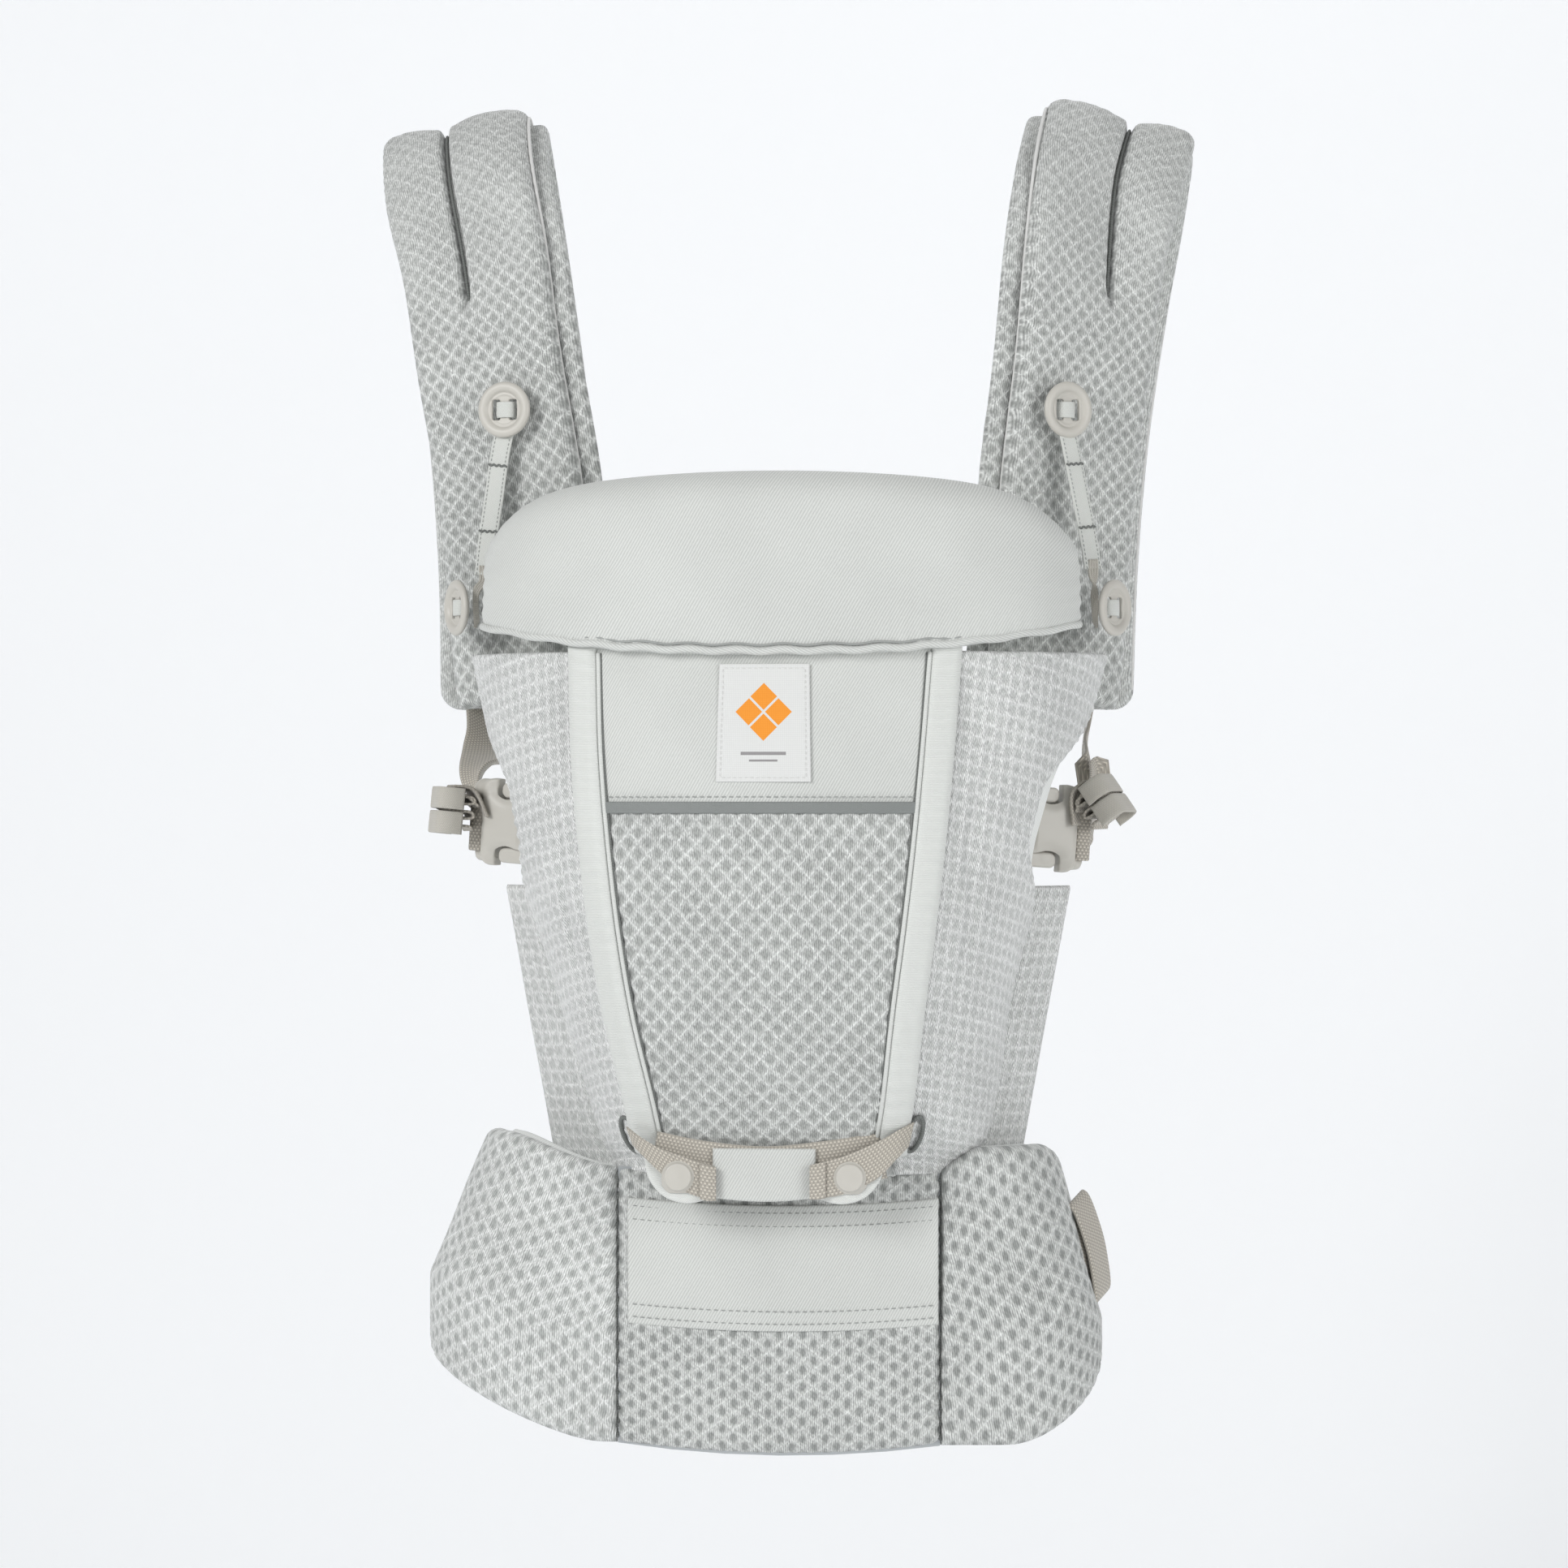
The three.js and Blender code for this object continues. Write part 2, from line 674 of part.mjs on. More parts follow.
function webbingShape(width, thick) {
  const corners = [[-1, -1], [1, -1], [1, 1], [-1, 1]];
  return new THREE.Shape(corners.map(([x, y]) => new THREE.Vector2((x * width) / 2, (y * thick) / 2)));
}

function flatRun(points, width, thick, steps, widthAt) {
  return band(curveThrough(points), webbingShape(width, thick), steps, widthAt);
}

function makeWebbing() {
  const up = new THREE.Vector3(0, 0, 1);
  for (const [hand, frame] of [['left', FRAMES.side_left], ['right', FRAMES.side_right]]) {
    const side = hand === 'left' ? -1 : 1;
    const { width, thick, clear, outset } = SIDE_WEBBING;
    const far = (BUCKLE.length + clear) * frame.size;
    const origin = new THREE.Vector3(...frame.origin);
    const [x, y, z] = frame.slide.clone().multiplyScalar(far).add(origin).toArray();
    const end = STRAP_PATHS[hand].points.at(-1);
    const route = [
      [x, y, z],
      [x + side * 5, y + 12, z + 5],
      [x + side * 8, y + 40, z + 24],
      [end[0] + side * (outset - 4), end[1] - 16, end[2] - 22],
      [end[0] + side * outset, end[1], end[2] - 4],
    ];
    const start = new THREE.Vector3(0, 0.1, 1);
    const finish = new THREE.Vector3(-side, 0.1, 0);
    const turnOver = (t) => start.clone().lerp(finish, THREE.MathUtils.smoothstep(t, 0.3, 0.95));
    const webbing = flatRun(route, width, thick, 14, turnOver);
    addPiece(`side_webbing_${hand}`, webbing, 'webbing');
    const roll = plate(roundedRectangle(TAIL.length, TAIL.width, TAIL.corner), TAIL.thick);
    const tilt = new THREE.Vector3(side * 0.8, -0.45, 0.42);
    const rollAt = [x + side * 11, y - 13, z + TAIL.rise[hand]];
    addPiece(`webbing_tail_${hand}`, placeAt(roll, rollAt, tilt, new THREE.Vector3(0, -1, 0.2)), 'webbing');
  }
  for (const [hand, wing] of Object.entries(WING)) {
    const end = wingPoint(wing, 1, 0.5, (BELT.wingPad + BELT.wingLining) / 2);
    const frame = FRAMES.waist;
    const socketEnd = -(BUCKLE.length + 1) * frame.size;
    const plugEnd = (PLUG.length + 2 * GAP + 0.6) * frame.size;
    const near = hand === 'left' ? socketEnd : plugEnd;
    const stop = frame.origin[0] + near;
    const route = [
      [end.x, end.y + 2, end.z],
      [end.x - wing.side * 22, end.y + 30, WAIST.height],
      [(end.x + stop) / 2, WAIST.rear - 6, WAIST.height],
      [stop, WAIST.rear, WAIST.height],
    ];
    addPiece(`waist_webbing_${hand}`, flatRun(route, WAIST.webbing, WAIST.thick, 10, () => up), 'webbing');
  }
  const male = (PLUG.length + 2 * GAP + 0.4) * FRAMES.chest.size;
  const female = (BUCKLE.length + 1) * FRAMES.chest.size;
  const stops = { left: FRAMES.chest.origin[0] - female, right: FRAMES.chest.origin[0] + male };
  for (const [hand, stop] of Object.entries(stops)) {
    const far = STRAP_PATHS[hand].points.at(-2)[0];
    const side = Math.sign(far);
    const route = [
      [far + side * 30, CHEST.depth - 2, CHEST.height],
      [far - side * 20, CHEST.depth, CHEST.height],
      [stop, CHEST.depth, CHEST.height],
    ];
    addPiece(`chest_webbing_${hand}`, flatRun(route, CHEST.webbing, CHEST.thick, 8, () => up), 'webbing');
  }
}

function makeWaistTail() {
  const wing = WING.right;
  const at = wingPoint(wing, 0.52, 0.62, -7);
  const low = wingPoint(wing, 0.6, 0.2, -7);
  const lean = at.clone().sub(low).normalize();
  const { length, width, corner, thick } = WAIST_ROLL;
  const roll = plate(roundedRectangle(length, width, corner), thick);
  const centre = at.clone().lerp(low, 0.45);
  const across = new THREE.Vector3(1, 0.1, 0);
  addPiece('waist_webbing_roll', placeAt(roll, centre.toArray(), lean, across), 'webbing');
}

// ---- seat tabs ----

function snapDisc(x, y, z, radius) {
  return new THREE.CylinderGeometry(radius, radius - 1, SNAP.thick, 18).translate(x, y, z);
}

function makeSeatTabs() {
  const { front, centre, half, snapOffset, bottom, top, thick, lift } = TAB;
  const middle = block([centre - half, centre + half], [front, front + thick], [bottom, top]);
  addPiece('seat_tab_center', middle, 'twill');
  for (const side of [-1, 1]) {
    const hand = side < 0 ? 'left' : 'right';
    const shape = panelShape(TAB.seamHeight);
    const seam = Math.abs(side < 0 ? shape.seamLeft : shape.seamRight);
    const snap = centre + side * snapOffset;
    const route = [
      [snap - side * 19, front - lift, 69],
      [snap, front - lift, SNAP.height],
      [side * (seam - 8), front - lift, 82],
      [side * (seam + 3), front - lift + 1, 88],
    ];
    const width = new THREE.Vector3(-side * 0.3, 0, 1);
    const webbing = flatRun(route, TAB_WEBBING.width, TAB_WEBBING.thick, 6, () => width);
    addPiece(`seat_tab_webbing_${hand}`, webbing, 'webbing');
    const capFront = front - lift - 1 - GAP - SNAP.thick / 2;
    addPiece(`snap_cap_${hand}`, snapDisc(snap, capFront, SNAP.height, SNAP.radius), 'plastic');
    const studFront = front - GAP - SNAP.thick / 2;
    addPiece(`snap_stud_${hand}`, snapDisc(snap, studFront, SNAP.height, SNAP.radius - 1), 'plastic');
  }
}

// ---- assembly ----

makeBelt();
makePanel();
addPiece('seat_wing_left', seatWing(-1), 'mesh');
addPiece('seat_wing_right', seatWing(1), 'mesh');
makePillow();
makeStraps();
makeButtons();
makeBuckles();
makeWebbing();
makeWaistTail();
makeSeatTabs();

export default carrier;
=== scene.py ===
"""Soft baby carrier: the visual model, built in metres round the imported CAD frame."""
import math

import bmesh
import bpy
import numpy as np
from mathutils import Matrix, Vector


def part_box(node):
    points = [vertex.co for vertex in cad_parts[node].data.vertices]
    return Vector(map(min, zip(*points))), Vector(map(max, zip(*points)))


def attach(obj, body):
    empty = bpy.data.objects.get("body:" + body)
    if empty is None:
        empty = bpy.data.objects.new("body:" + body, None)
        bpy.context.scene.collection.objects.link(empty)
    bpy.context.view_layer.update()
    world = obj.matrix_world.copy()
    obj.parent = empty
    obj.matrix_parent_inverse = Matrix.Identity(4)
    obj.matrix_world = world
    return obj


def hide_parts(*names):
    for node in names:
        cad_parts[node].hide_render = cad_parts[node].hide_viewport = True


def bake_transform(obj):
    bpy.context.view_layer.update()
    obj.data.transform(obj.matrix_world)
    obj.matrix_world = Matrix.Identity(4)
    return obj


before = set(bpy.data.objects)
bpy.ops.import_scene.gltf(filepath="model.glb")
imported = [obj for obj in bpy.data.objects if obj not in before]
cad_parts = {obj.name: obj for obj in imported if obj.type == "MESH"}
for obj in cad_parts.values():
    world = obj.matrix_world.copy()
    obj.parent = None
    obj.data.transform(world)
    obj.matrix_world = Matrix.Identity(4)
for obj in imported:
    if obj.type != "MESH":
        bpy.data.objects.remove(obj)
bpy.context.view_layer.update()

import openvdb
from mathutils import Vector

MM = 0.001
SIDES = {"left": -1, "right": 1}


def mm(*values):
    """Millimetres as metres."""
    return tuple(v * MM for v in values)


# ---------------------------------------------------------------- camera, light, floor

TARGET = Vector((0.0, -0.020, 0.276))
CAMERA_DISTANCE = 2.6
CAMERA_AZIMUTH = math.radians(4.5)
VIEW_WIDTH = 0.821  # metres across the picture at the target
SENSOR = 36.0  # millimetres
WORLD_STRENGTH = 0.42
# name, place, size across in metres and power in watts of each lamp
LAMPS = (
    ("key", (-1.9, -2.3, 1.35), 1.3, 52.0),
    ("fill", (1.9, -1.6, 0.6), 1.2, 21.0),
    ("back", (0.3, 1.5, 2.2), 1.2, 8.0),
)
FLOOR_Z, FLOOR_NEAR, FLOOR_FAR, WALL_TOP = -0.32, -4.0, 0.7, 4.0
BACKDROP_HALF_WIDTH, BACKDROP_BEND, BEND_STEPS = 6.0, 1.2, 16
BACKDROP_GLOW = 0.08


def make_camera():
    camera = bpy.data.objects.new("camera", bpy.data.cameras.new("camera"))
    bpy.context.collection.objects.link(camera)
    away = Vector((math.sin(CAMERA_AZIMUTH), -math.cos(CAMERA_AZIMUTH), 0.0))
    camera.location = TARGET + CAMERA_DISTANCE * away
    camera.rotation_euler = (math.pi / 2, 0.0, CAMERA_AZIMUTH)
    camera.data.sensor_width = SENSOR
    camera.data.lens = SENSOR * CAMERA_DISTANCE / VIEW_WIDTH
    camera.data.clip_end = 50.0
    bpy.context.scene.camera = camera


def make_light(name, place, size, power):
    light = bpy.data.lights.new(name, "AREA")
    light.shape = "DISK"
    light.size = size
    light.energy = power
    lamp = bpy.data.objects.new(name, light)
    bpy.context.collection.objects.link(lamp)
    lamp.location = place
    lamp.rotation_euler = (TARGET - Vector(place)).to_track_quat("-Z", "Y").to_euler()


def show_from_inside(material, shader):
    """Let a view from behind the backdrop see through its rear side."""
    nodes, links = material.node_tree.nodes, material.node_tree.links
    clear = nodes.new("ShaderNodeBsdfTransparent")
    side = nodes.new("ShaderNodeNewGeometry")
    mixed = nodes.new("ShaderNodeMixShader")
    links.new(side.outputs["Backfacing"], mixed.inputs[0])
    links.new(shader.outputs[0], mixed.inputs[1])
    links.new(clear.outputs[0], mixed.inputs[2])
    links.new(mixed.outputs[0], nodes["Material Output"].inputs["Surface"])


def make_studio():
    scene = bpy.context.scene
    scene.view_settings.view_transform = "Standard"
    world = bpy.data.worlds.new("studio")
    world.use_nodes = True
    sky = world.node_tree.nodes["Background"]
    sky.inputs["Color"].default_value = (0.97, 0.98, 1.0, 1.0)
    sky.inputs["Strength"].default_value = WORLD_STRENGTH
    scene.world = world
    for lamp in LAMPS:
        make_light(*lamp)
    make_backdrop()


def make_backdrop():
    """A floor that bends up into a wall behind the object."""
    profile = [(FLOOR_NEAR, FLOOR_Z), (FLOOR_FAR, FLOOR_Z)]
    for step in range(1, BEND_STEPS + 1):
        angle = math.radians(90 * step / BEND_STEPS)
        rise = BACKDROP_BEND * (1 - math.cos(angle))
        profile.append((FLOOR_FAR + BACKDROP_BEND * math.sin(angle), FLOOR_Z + rise))
    profile.append((FLOOR_FAR + BACKDROP_BEND, WALL_TOP))
    bm = bmesh.new()
    rows = [[bm.verts.new((x, y, z)) for y, z in profile]
            for x in (-BACKDROP_HALF_WIDTH, BACKDROP_HALF_WIDTH)]
    for a, b, c, d in zip(rows[0], rows[1], rows[1][1:], rows[0][1:]):
        bm.faces.new((a, b, c, d)).smooth = True
    mesh = bpy.data.meshes.new("backdrop")
    bm.to_mesh(mesh)
    backdrop = bpy.data.objects.new("backdrop", mesh)
    bpy.context.collection.objects.link(backdrop)
    material = bpy.data.materials.new("backdrop")
    material.use_nodes = True
    shader = material.node_tree.nodes["Principled BSDF"]
    shader.inputs["Base Color"].default_value = (0.93, 0.94, 0.95, 1.0)
    shader.inputs["Emission Color"].default_value = (0.97, 0.985, 1.0, 1.0)
    shader.inputs["Emission Strength"].default_value = BACKDROP_GLOW
    shader.inputs["Roughness"].default_value = 0.9
    show_from_inside(material, shader)
    mesh.materials.append(material)


make_camera()
make_studio()


# ---------------------------------------------------------------- numbers and curves

def smooth(value, low, high):
    t = np.clip((value - low) / (high - low), 0.0, 1.0)
    return t * t * (3 - 2 * t)


def lerp(a, b, t):
    return a + (b - a) * t


def cubic(at, knots, values):
    """Cubic curve through values at knots; values may have more axes after the first."""
    knots = np.asarray(knots, float)
    values = np.asarray(values, float)
    slopes = np.gradient(values, knots, axis=0)
    at = np.clip(np.asarray(at, float), knots[0], knots[-1])
    i = np.clip(np.searchsorted(knots, at, side="right") - 1, 0, len(knots) - 2)
    span = knots[i + 1] - knots[i]
    t = (at - knots[i]) / span
    extra = (None,) * (values.ndim - 1)
    t, span = t[(...,) + extra], span[(...,) + extra]
    h00, h10 = 2 * t**3 - 3 * t**2 + 1, t**3 - 2 * t**2 + t
    h01, h11 = 3 * t**2 - 2 * t**3, t**3 - t**2
    return h00 * values[i] + h10 * span * slopes[i] + h01 * values[i + 1] + h11 * span * slopes[i + 1]


def along(points, count):
    """count evenly spaced points on a smooth curve through points, and their tangents."""
    points = np.asarray(points, float)
    knots = np.concatenate([[0], np.cumsum(np.sqrt(steps_between(points)))])
    dense = cubic(np.linspace(0, knots[-1], 400), knots, points)
    length = lengths(dense)
    even = np.linspace(0, length[-1], count)
    place = np.stack([np.interp(even, length, dense[:, k]) for k in range(3)], axis=1)
    tangent = unit(np.gradient(place, axis=0))
    return place, tangent


def steps_between(points):
    return np.linalg.norm(np.diff(points, axis=0), axis=1)


def lengths(points):
    """How far along a chain of points each of them is."""
    return np.concatenate([[0], np.cumsum(steps_between(points))])


def unit(vectors):
    size = np.linalg.norm(vectors, axis=-1, keepdims=True)
    return vectors / np.maximum(size, 1e-12)


def waves(a, b, seed, count=6, low=20.0, high=90.0):
    """A fixed sum of slow ripples over two coordinates in metres, from about -1 to 1."""
    rng = np.random.default_rng(seed)
    total = 0.0
    for _ in range(count):
        turn, rate, phase = rng.uniform(0, math.pi), rng.uniform(low, high), rng.uniform(0, 2 * math.pi)
        total = total + np.sin(rate * (a * math.cos(turn) + b * math.sin(turn)) + phase)
    return total / math.sqrt(count) / 1.4


def edge_spaced(count, share, rim_steps=5):
    """Values from 0 to 1, closer together in the rounded rim at both ends."""
    rim = share * (1 - np.cos(np.linspace(0, math.pi / 2, rim_steps + 1)))
    middle = np.linspace(share, 1 - share, count)
    return np.concatenate([rim[:-1], middle, 1 - rim[:-1][::-1]])


# ---------------------------------------------------------------- materials

class Shader:
    """Builds one procedural fabric or plastic material, node by node."""

    def __init__(self, name, roughness, sheen=0.0):
        self.material = bpy.data.materials.new(name)
        self.material.use_nodes = True
        self.tree = self.material.node_tree
        self.surface = self.tree.nodes["Principled BSDF"]
        self.surface.inputs["Roughness"].default_value = roughness
        self.surface.inputs["Sheen Weight"].default_value = sheen
        self.surface.inputs["Sheen Roughness"].default_value = 0.5

    def node(self, kind, **settings):
        made = self.tree.nodes.new(kind)
        for key, value in settings.items():
            setattr(made, key, value)
        return made

    def set_input(self, socket, value):
        if isinstance(value, bpy.types.NodeSocket):
            self.tree.links.new(value, socket)
        else:
            socket.default_value = value

    def math(self, operation, a, b=0.0, c=0.0):
        made = self.node("ShaderNodeMath", operation=operation)
        for socket, value in zip(made.inputs, (a, b, c)):
            self.set_input(socket, value)
        return made.outputs[0]

    def plus(self, a, b):
        return self.math("ADD", a, b)

    def times(self, a, b):
        return self.math("MULTIPLY", a, b)

    def scaled(self, value, share, shift):
        return self.math("MULTIPLY_ADD", value, share, shift)

    def weave_coordinates(self):
        uv = self.node("ShaderNodeUVMap", uv_map="weave")
        split = self.node("ShaderNodeSeparateXYZ")
        self.tree.links.new(uv.outputs[0], split.inputs[0])
        return uv.outputs[0], split.outputs[0], split.outputs[1]

    def noise(self, vector, scale, detail=2.0, stretch=None):
        if stretch:
            mapping = self.node("ShaderNodeMapping")
            mapping.inputs["Scale"].default_value = stretch
            self.tree.links.new(vector, mapping.inputs[0])
            vector = mapping.outputs[0]
        made = self.node("ShaderNodeTexNoise")
        self.tree.links.new(vector, made.inputs["Vector"])
        made.inputs["Scale"].default_value = scale
        made.inputs["Detail"].default_value = detail
        return made.outputs["Fac"]

    def step(self, value, low, high, to_low=0.0, to_high=1.0):
        made = self.node("ShaderNodeMapRange", interpolation_type="SMOOTHSTEP")
        for key, number in zip(("Value", "From Min", "From Max", "To Min", "To Max"),
                               (value, low, high, to_low, to_high)):
            self.set_input(made.inputs[key], number)
        return made.outputs[0]

    def mix(self, factor, a, b):
        made = self.node("ShaderNodeMix", data_type="RGBA")
        self.set_input(made.inputs[0], factor)
        self.set_input(made.inputs[6], a)
        self.set_input(made.inputs[7], b)
        return made.outputs[2]

    def wave(self, coordinate, pitch, offset=0.0):
        """A sine wave from 0 to 1 with the given pitch in metres."""
        angle = self.scaled(coordinate, 2 * math.pi / pitch, offset)
        return self.scaled(self.math("SINE", angle), 0.5, 0.5)

    def colour(self, value):
        self.set_input(self.surface.inputs["Base Color"], value)

    def bump(self, height, distance, strength=1.0):
        made = self.node("ShaderNodeBump")
        made.inputs["Distance"].default_value = distance
        made.inputs["Strength"].default_value = strength
        self.tree.links.new(height, made.inputs["Height"])
        self.tree.links.new(made.outputs[0], self.surface.inputs["Normal"])


def grey(r, g, b):
    """An sRGB colour of 0 to 255 as linear RGBA."""
    linear = [((c / 255 + 0.055) / 1.055) ** 2.4 if c > 10 else c / 255 / 12.92 for c in (r, g, b)]
    return (*linear, 1.0)


def shaded(colour, share):
    """A colour made darker or lighter by a share of its brightness."""
    return [min(1.0, c * share) for c in colour[:3]] + [1.0]


# The four air meshes, in metres: pitch and half size of their openings, how square an opening is (power),
# where its soft edge starts and ends (edge), how strong the painted shade in an opening is, and how strong
# the painted highlight on the net of ridges between openings is.
WEAVES = {
    "belt": dict(pitch=mm(12.0, 9.1), half=mm(1.9, 2.5), power=1.8, stagger=0.5,
                 edge=(0.5, 1.35), hole_shade=0.95, net=0.55),
    "panel": dict(pitch=mm(10.4, 11.4), half=mm(2.9, 3.4), power=1.15, stagger=0.5,
                  edge=(0.5, 1.3), hole_shade=0.72, net=0.7),
    "side": dict(pitch=mm(6.4, 7.2), half=mm(1.9, 2.1), power=3.0, stagger=0.0,
                 edge=(0.6, 1.5), hole_shade=0.55, net=0.35, slant=0.45),
    "strap": dict(pitch=mm(8.8, 9.6), half=mm(2.5, 2.7), power=1.2, stagger=0.5,
                  edge=(0.4, 1.35), hole_shade=0.75, net=0.8),
}
THREAD_PITCH = 1.1 * MM


def hole_depth(a, b, weave):
    """1 inside an opening of the mesh and 0 on its threads, at weave coordinates in metres."""
    nearest = np.full(np.shape(a), 9.0)
    for shift in {0.0, weave["stagger"]}:
        x, y = a / weave["pitch"][0] + shift, b / weave["pitch"][1] + shift
        x = np.abs(x - np.round(x)) * weave["pitch"][0] / weave["half"][0]
        y = np.abs(y - np.round(y)) * weave["pitch"][1] / weave["half"][1]
        nearest = np.minimum(nearest, (x ** weave["power"] + y ** weave["power"]) ** (1 / weave["power"]))
    return 1 - smooth(nearest, *weave["edge"])


def air_mesh(name, weave, light, hole_shade, fade=None):
    """A knitted spacer mesh with painted shade in its openings and a painted highlight on the ridges between
    them; fade is the height range over which its openings close up.
    """
    shader = Shader(name, 0.82, 0.25)
    vector, a, b = shader.weave_coordinates()
    wander = shader.scaled(shader.noise(vector, 60.0, 2.0), 0.0024, -0.0012)
    across = shader.plus(a, wander)
    nearest = net = None
    for shift in sorted({0.0, weave["stagger"]}):
        powers, reach = [], []
        for coordinate, pitch, half in zip((across, b), weave["pitch"], weave["half"]):
            cell = shader.scaled(coordinate, 1 / pitch, shift)
            off = shader.math("ABSOLUTE", shader.math("SUBTRACT", cell, shader.math("ROUND", cell)))
            powers.append(shader.math("POWER", shader.times(off, pitch / half), weave["power"]))
            reach.append(shader.times(off, 2.0))
        distance = shader.math("POWER", shader.plus(*powers), 1 / weave["power"])
        border = shader.math("ADD" if weave["stagger"] else "MAXIMUM", *reach)
        nearest = distance if nearest is None else shader.math("MINIMUM", nearest, distance)
        net = border if net is None else shader.math("MINIMUM", net, border)
    rough = shader.noise(vector, 800.0, 2.0)
    nearest = shader.plus(nearest, shader.scaled(rough, 0.7, -0.35))
    # Painted shade goes in the openings (hole) and a painted highlight on the net of ridges between them
    # (ridge); both also shape the bump.
    hole = shader.step(nearest, weave["edge"][1], weave["edge"][0])
    ridge = shader.step(shader.plus(net, shader.scaled(rough, 0.3, -0.15)), 0.78, 0.99)
    patchy = shader.step(shader.noise(vector, 130.0, 2.0), 0.34, 0.62, 0.25, 1.0)
    ridge = shader.times(ridge, patchy)
    if fade:
        closing = shader.step(b, fade[0], fade[1], 1.0, 0.45)
        hole = shader.times(hole, closing)
        ridge = shader.times(ridge, closing)
    leaning = shader.scaled(b, weave.get("slant", 0.0), across)
    bent = shader.scaled(shader.wave(b, weave["pitch"][1]), 0.0003, leaning)
    strand = shader.wave(bent, THREAD_PITCH)
    row = shader.math("FLOOR", shader.times(bent, 1 / THREAD_PITCH))
    loop = shader.wave(b, 0.0023, shader.times(row, 2.1))
    dash = shader.noise(vector, 1.0, 2.0, (1400.0, 420.0, 1.0))
    dash = shader.step(dash, 0.3, 0.7)
    knit = shader.times(strand, shader.scaled(loop, 0.4, 0.6))
    cloud = shader.noise(vector, 22.0, 3.0)
    tone = shader.plus(shader.times(knit, 0.55), shader.times(dash, 0.45))
    tone = shader.plus(tone, shader.scaled(cloud, 0.4, -0.2))
    lit = shader.mix(tone, shaded(light, 0.34), light)
    # Painted highlight on the ridges between openings.
    ridge_highlight = shaded(light, 1.2)
    lit = shader.mix(shader.times(shader.times(ridge, weave["net"]), dash), lit, ridge_highlight)
    # Painted shade in the openings.
    hole_shade_colour = shader.mix(tone, shaded(hole_shade, 0.50), hole_shade)
    shader.colour(shader.mix(shader.times(hole, weave["hole_shade"]), lit, hole_shade_colour))
    relief = shader.math("SUBTRACT", shader.scaled(knit, 0.5, ridge), hole)
    shader.bump(relief, 0.0005, 0.6)
    return shader.material


def twill(name, light, shade=0.60, pitch=0.0014):
    shader = Shader(name, 0.78, 0.2)
    vector, a, b = shader.weave_coordinates()
    diagonal = shader.scaled(a, -1.75, b)
    wale = shader.wave(diagonal, pitch * 2.0)
    fibre = shader.noise(vector, 1.0, 2.0, (1500.0, 700.0, 1.0))
    tone = shader.plus(shader.times(wale, 0.6), shader.times(fibre, 0.5))
    cloud = shader.noise(vector, 14.0, 3.0)
    tone = shader.plus(tone, shader.scaled(cloud, 0.5, -0.25))
    shader.colour(shader.mix(tone, shaded(light, shade), light))
    shader.bump(tone, 0.00018, 0.5)
    return shader.material


def ribbed(name, light, shade, pitch, roughness, sheen, cross=None):
    """Tape or webbing with ribs across it; cross adds warp lines along it."""
    shader = Shader(name, roughness, sheen)
    vector, a, b = shader.weave_coordinates()
    rib = shader.wave(b, pitch)
    tone = rib
    if cross:
        column = shader.math("FLOOR", shader.times(a, 1 / cross))
        rib = shader.wave(b, pitch, shader.times(column, math.pi))
        tone = shader.times(rib, shader.math("POWER", shader.wave(a, cross), 0.5))
    fibre = shader.noise(vector, 1500.0, 2.0)
    tone = shader.plus(shader.times(tone, 0.75), shader.times(fibre, 0.3))
    shader.colour(shader.mix(tone, shaded(light, shade), light))
    shader.bump(tone, 0.00025, 0.7)
    return shader.material


def plastic(name, colour, roughness=0.42):
    shader = Shader(name, roughness)
    place = shader.node("ShaderNodeTexCoord").outputs["Object"]
    grain = shader.noise(place, 1400.0, 3.0)
    cloud = shader.noise(place, 45.0, 2.0)
    shader.colour(shader.mix(cloud, shaded(colour, 0.93), colour))
    shader.bump(grain, 0.00008, 0.35)
    return shader.material


def thread(name, colour):
    shader = Shader(name, 0.6, 0.3)
    place = shader.node("ShaderNodeTexCoord").outputs["Object"]
    twist = shader.noise(place, 3000.0, 1.0)
    shader.colour(shader.mix(twist, shaded(colour, 0.75), colour))
    shader.bump(twist, 0.0001, 0.5)
    return shader.material


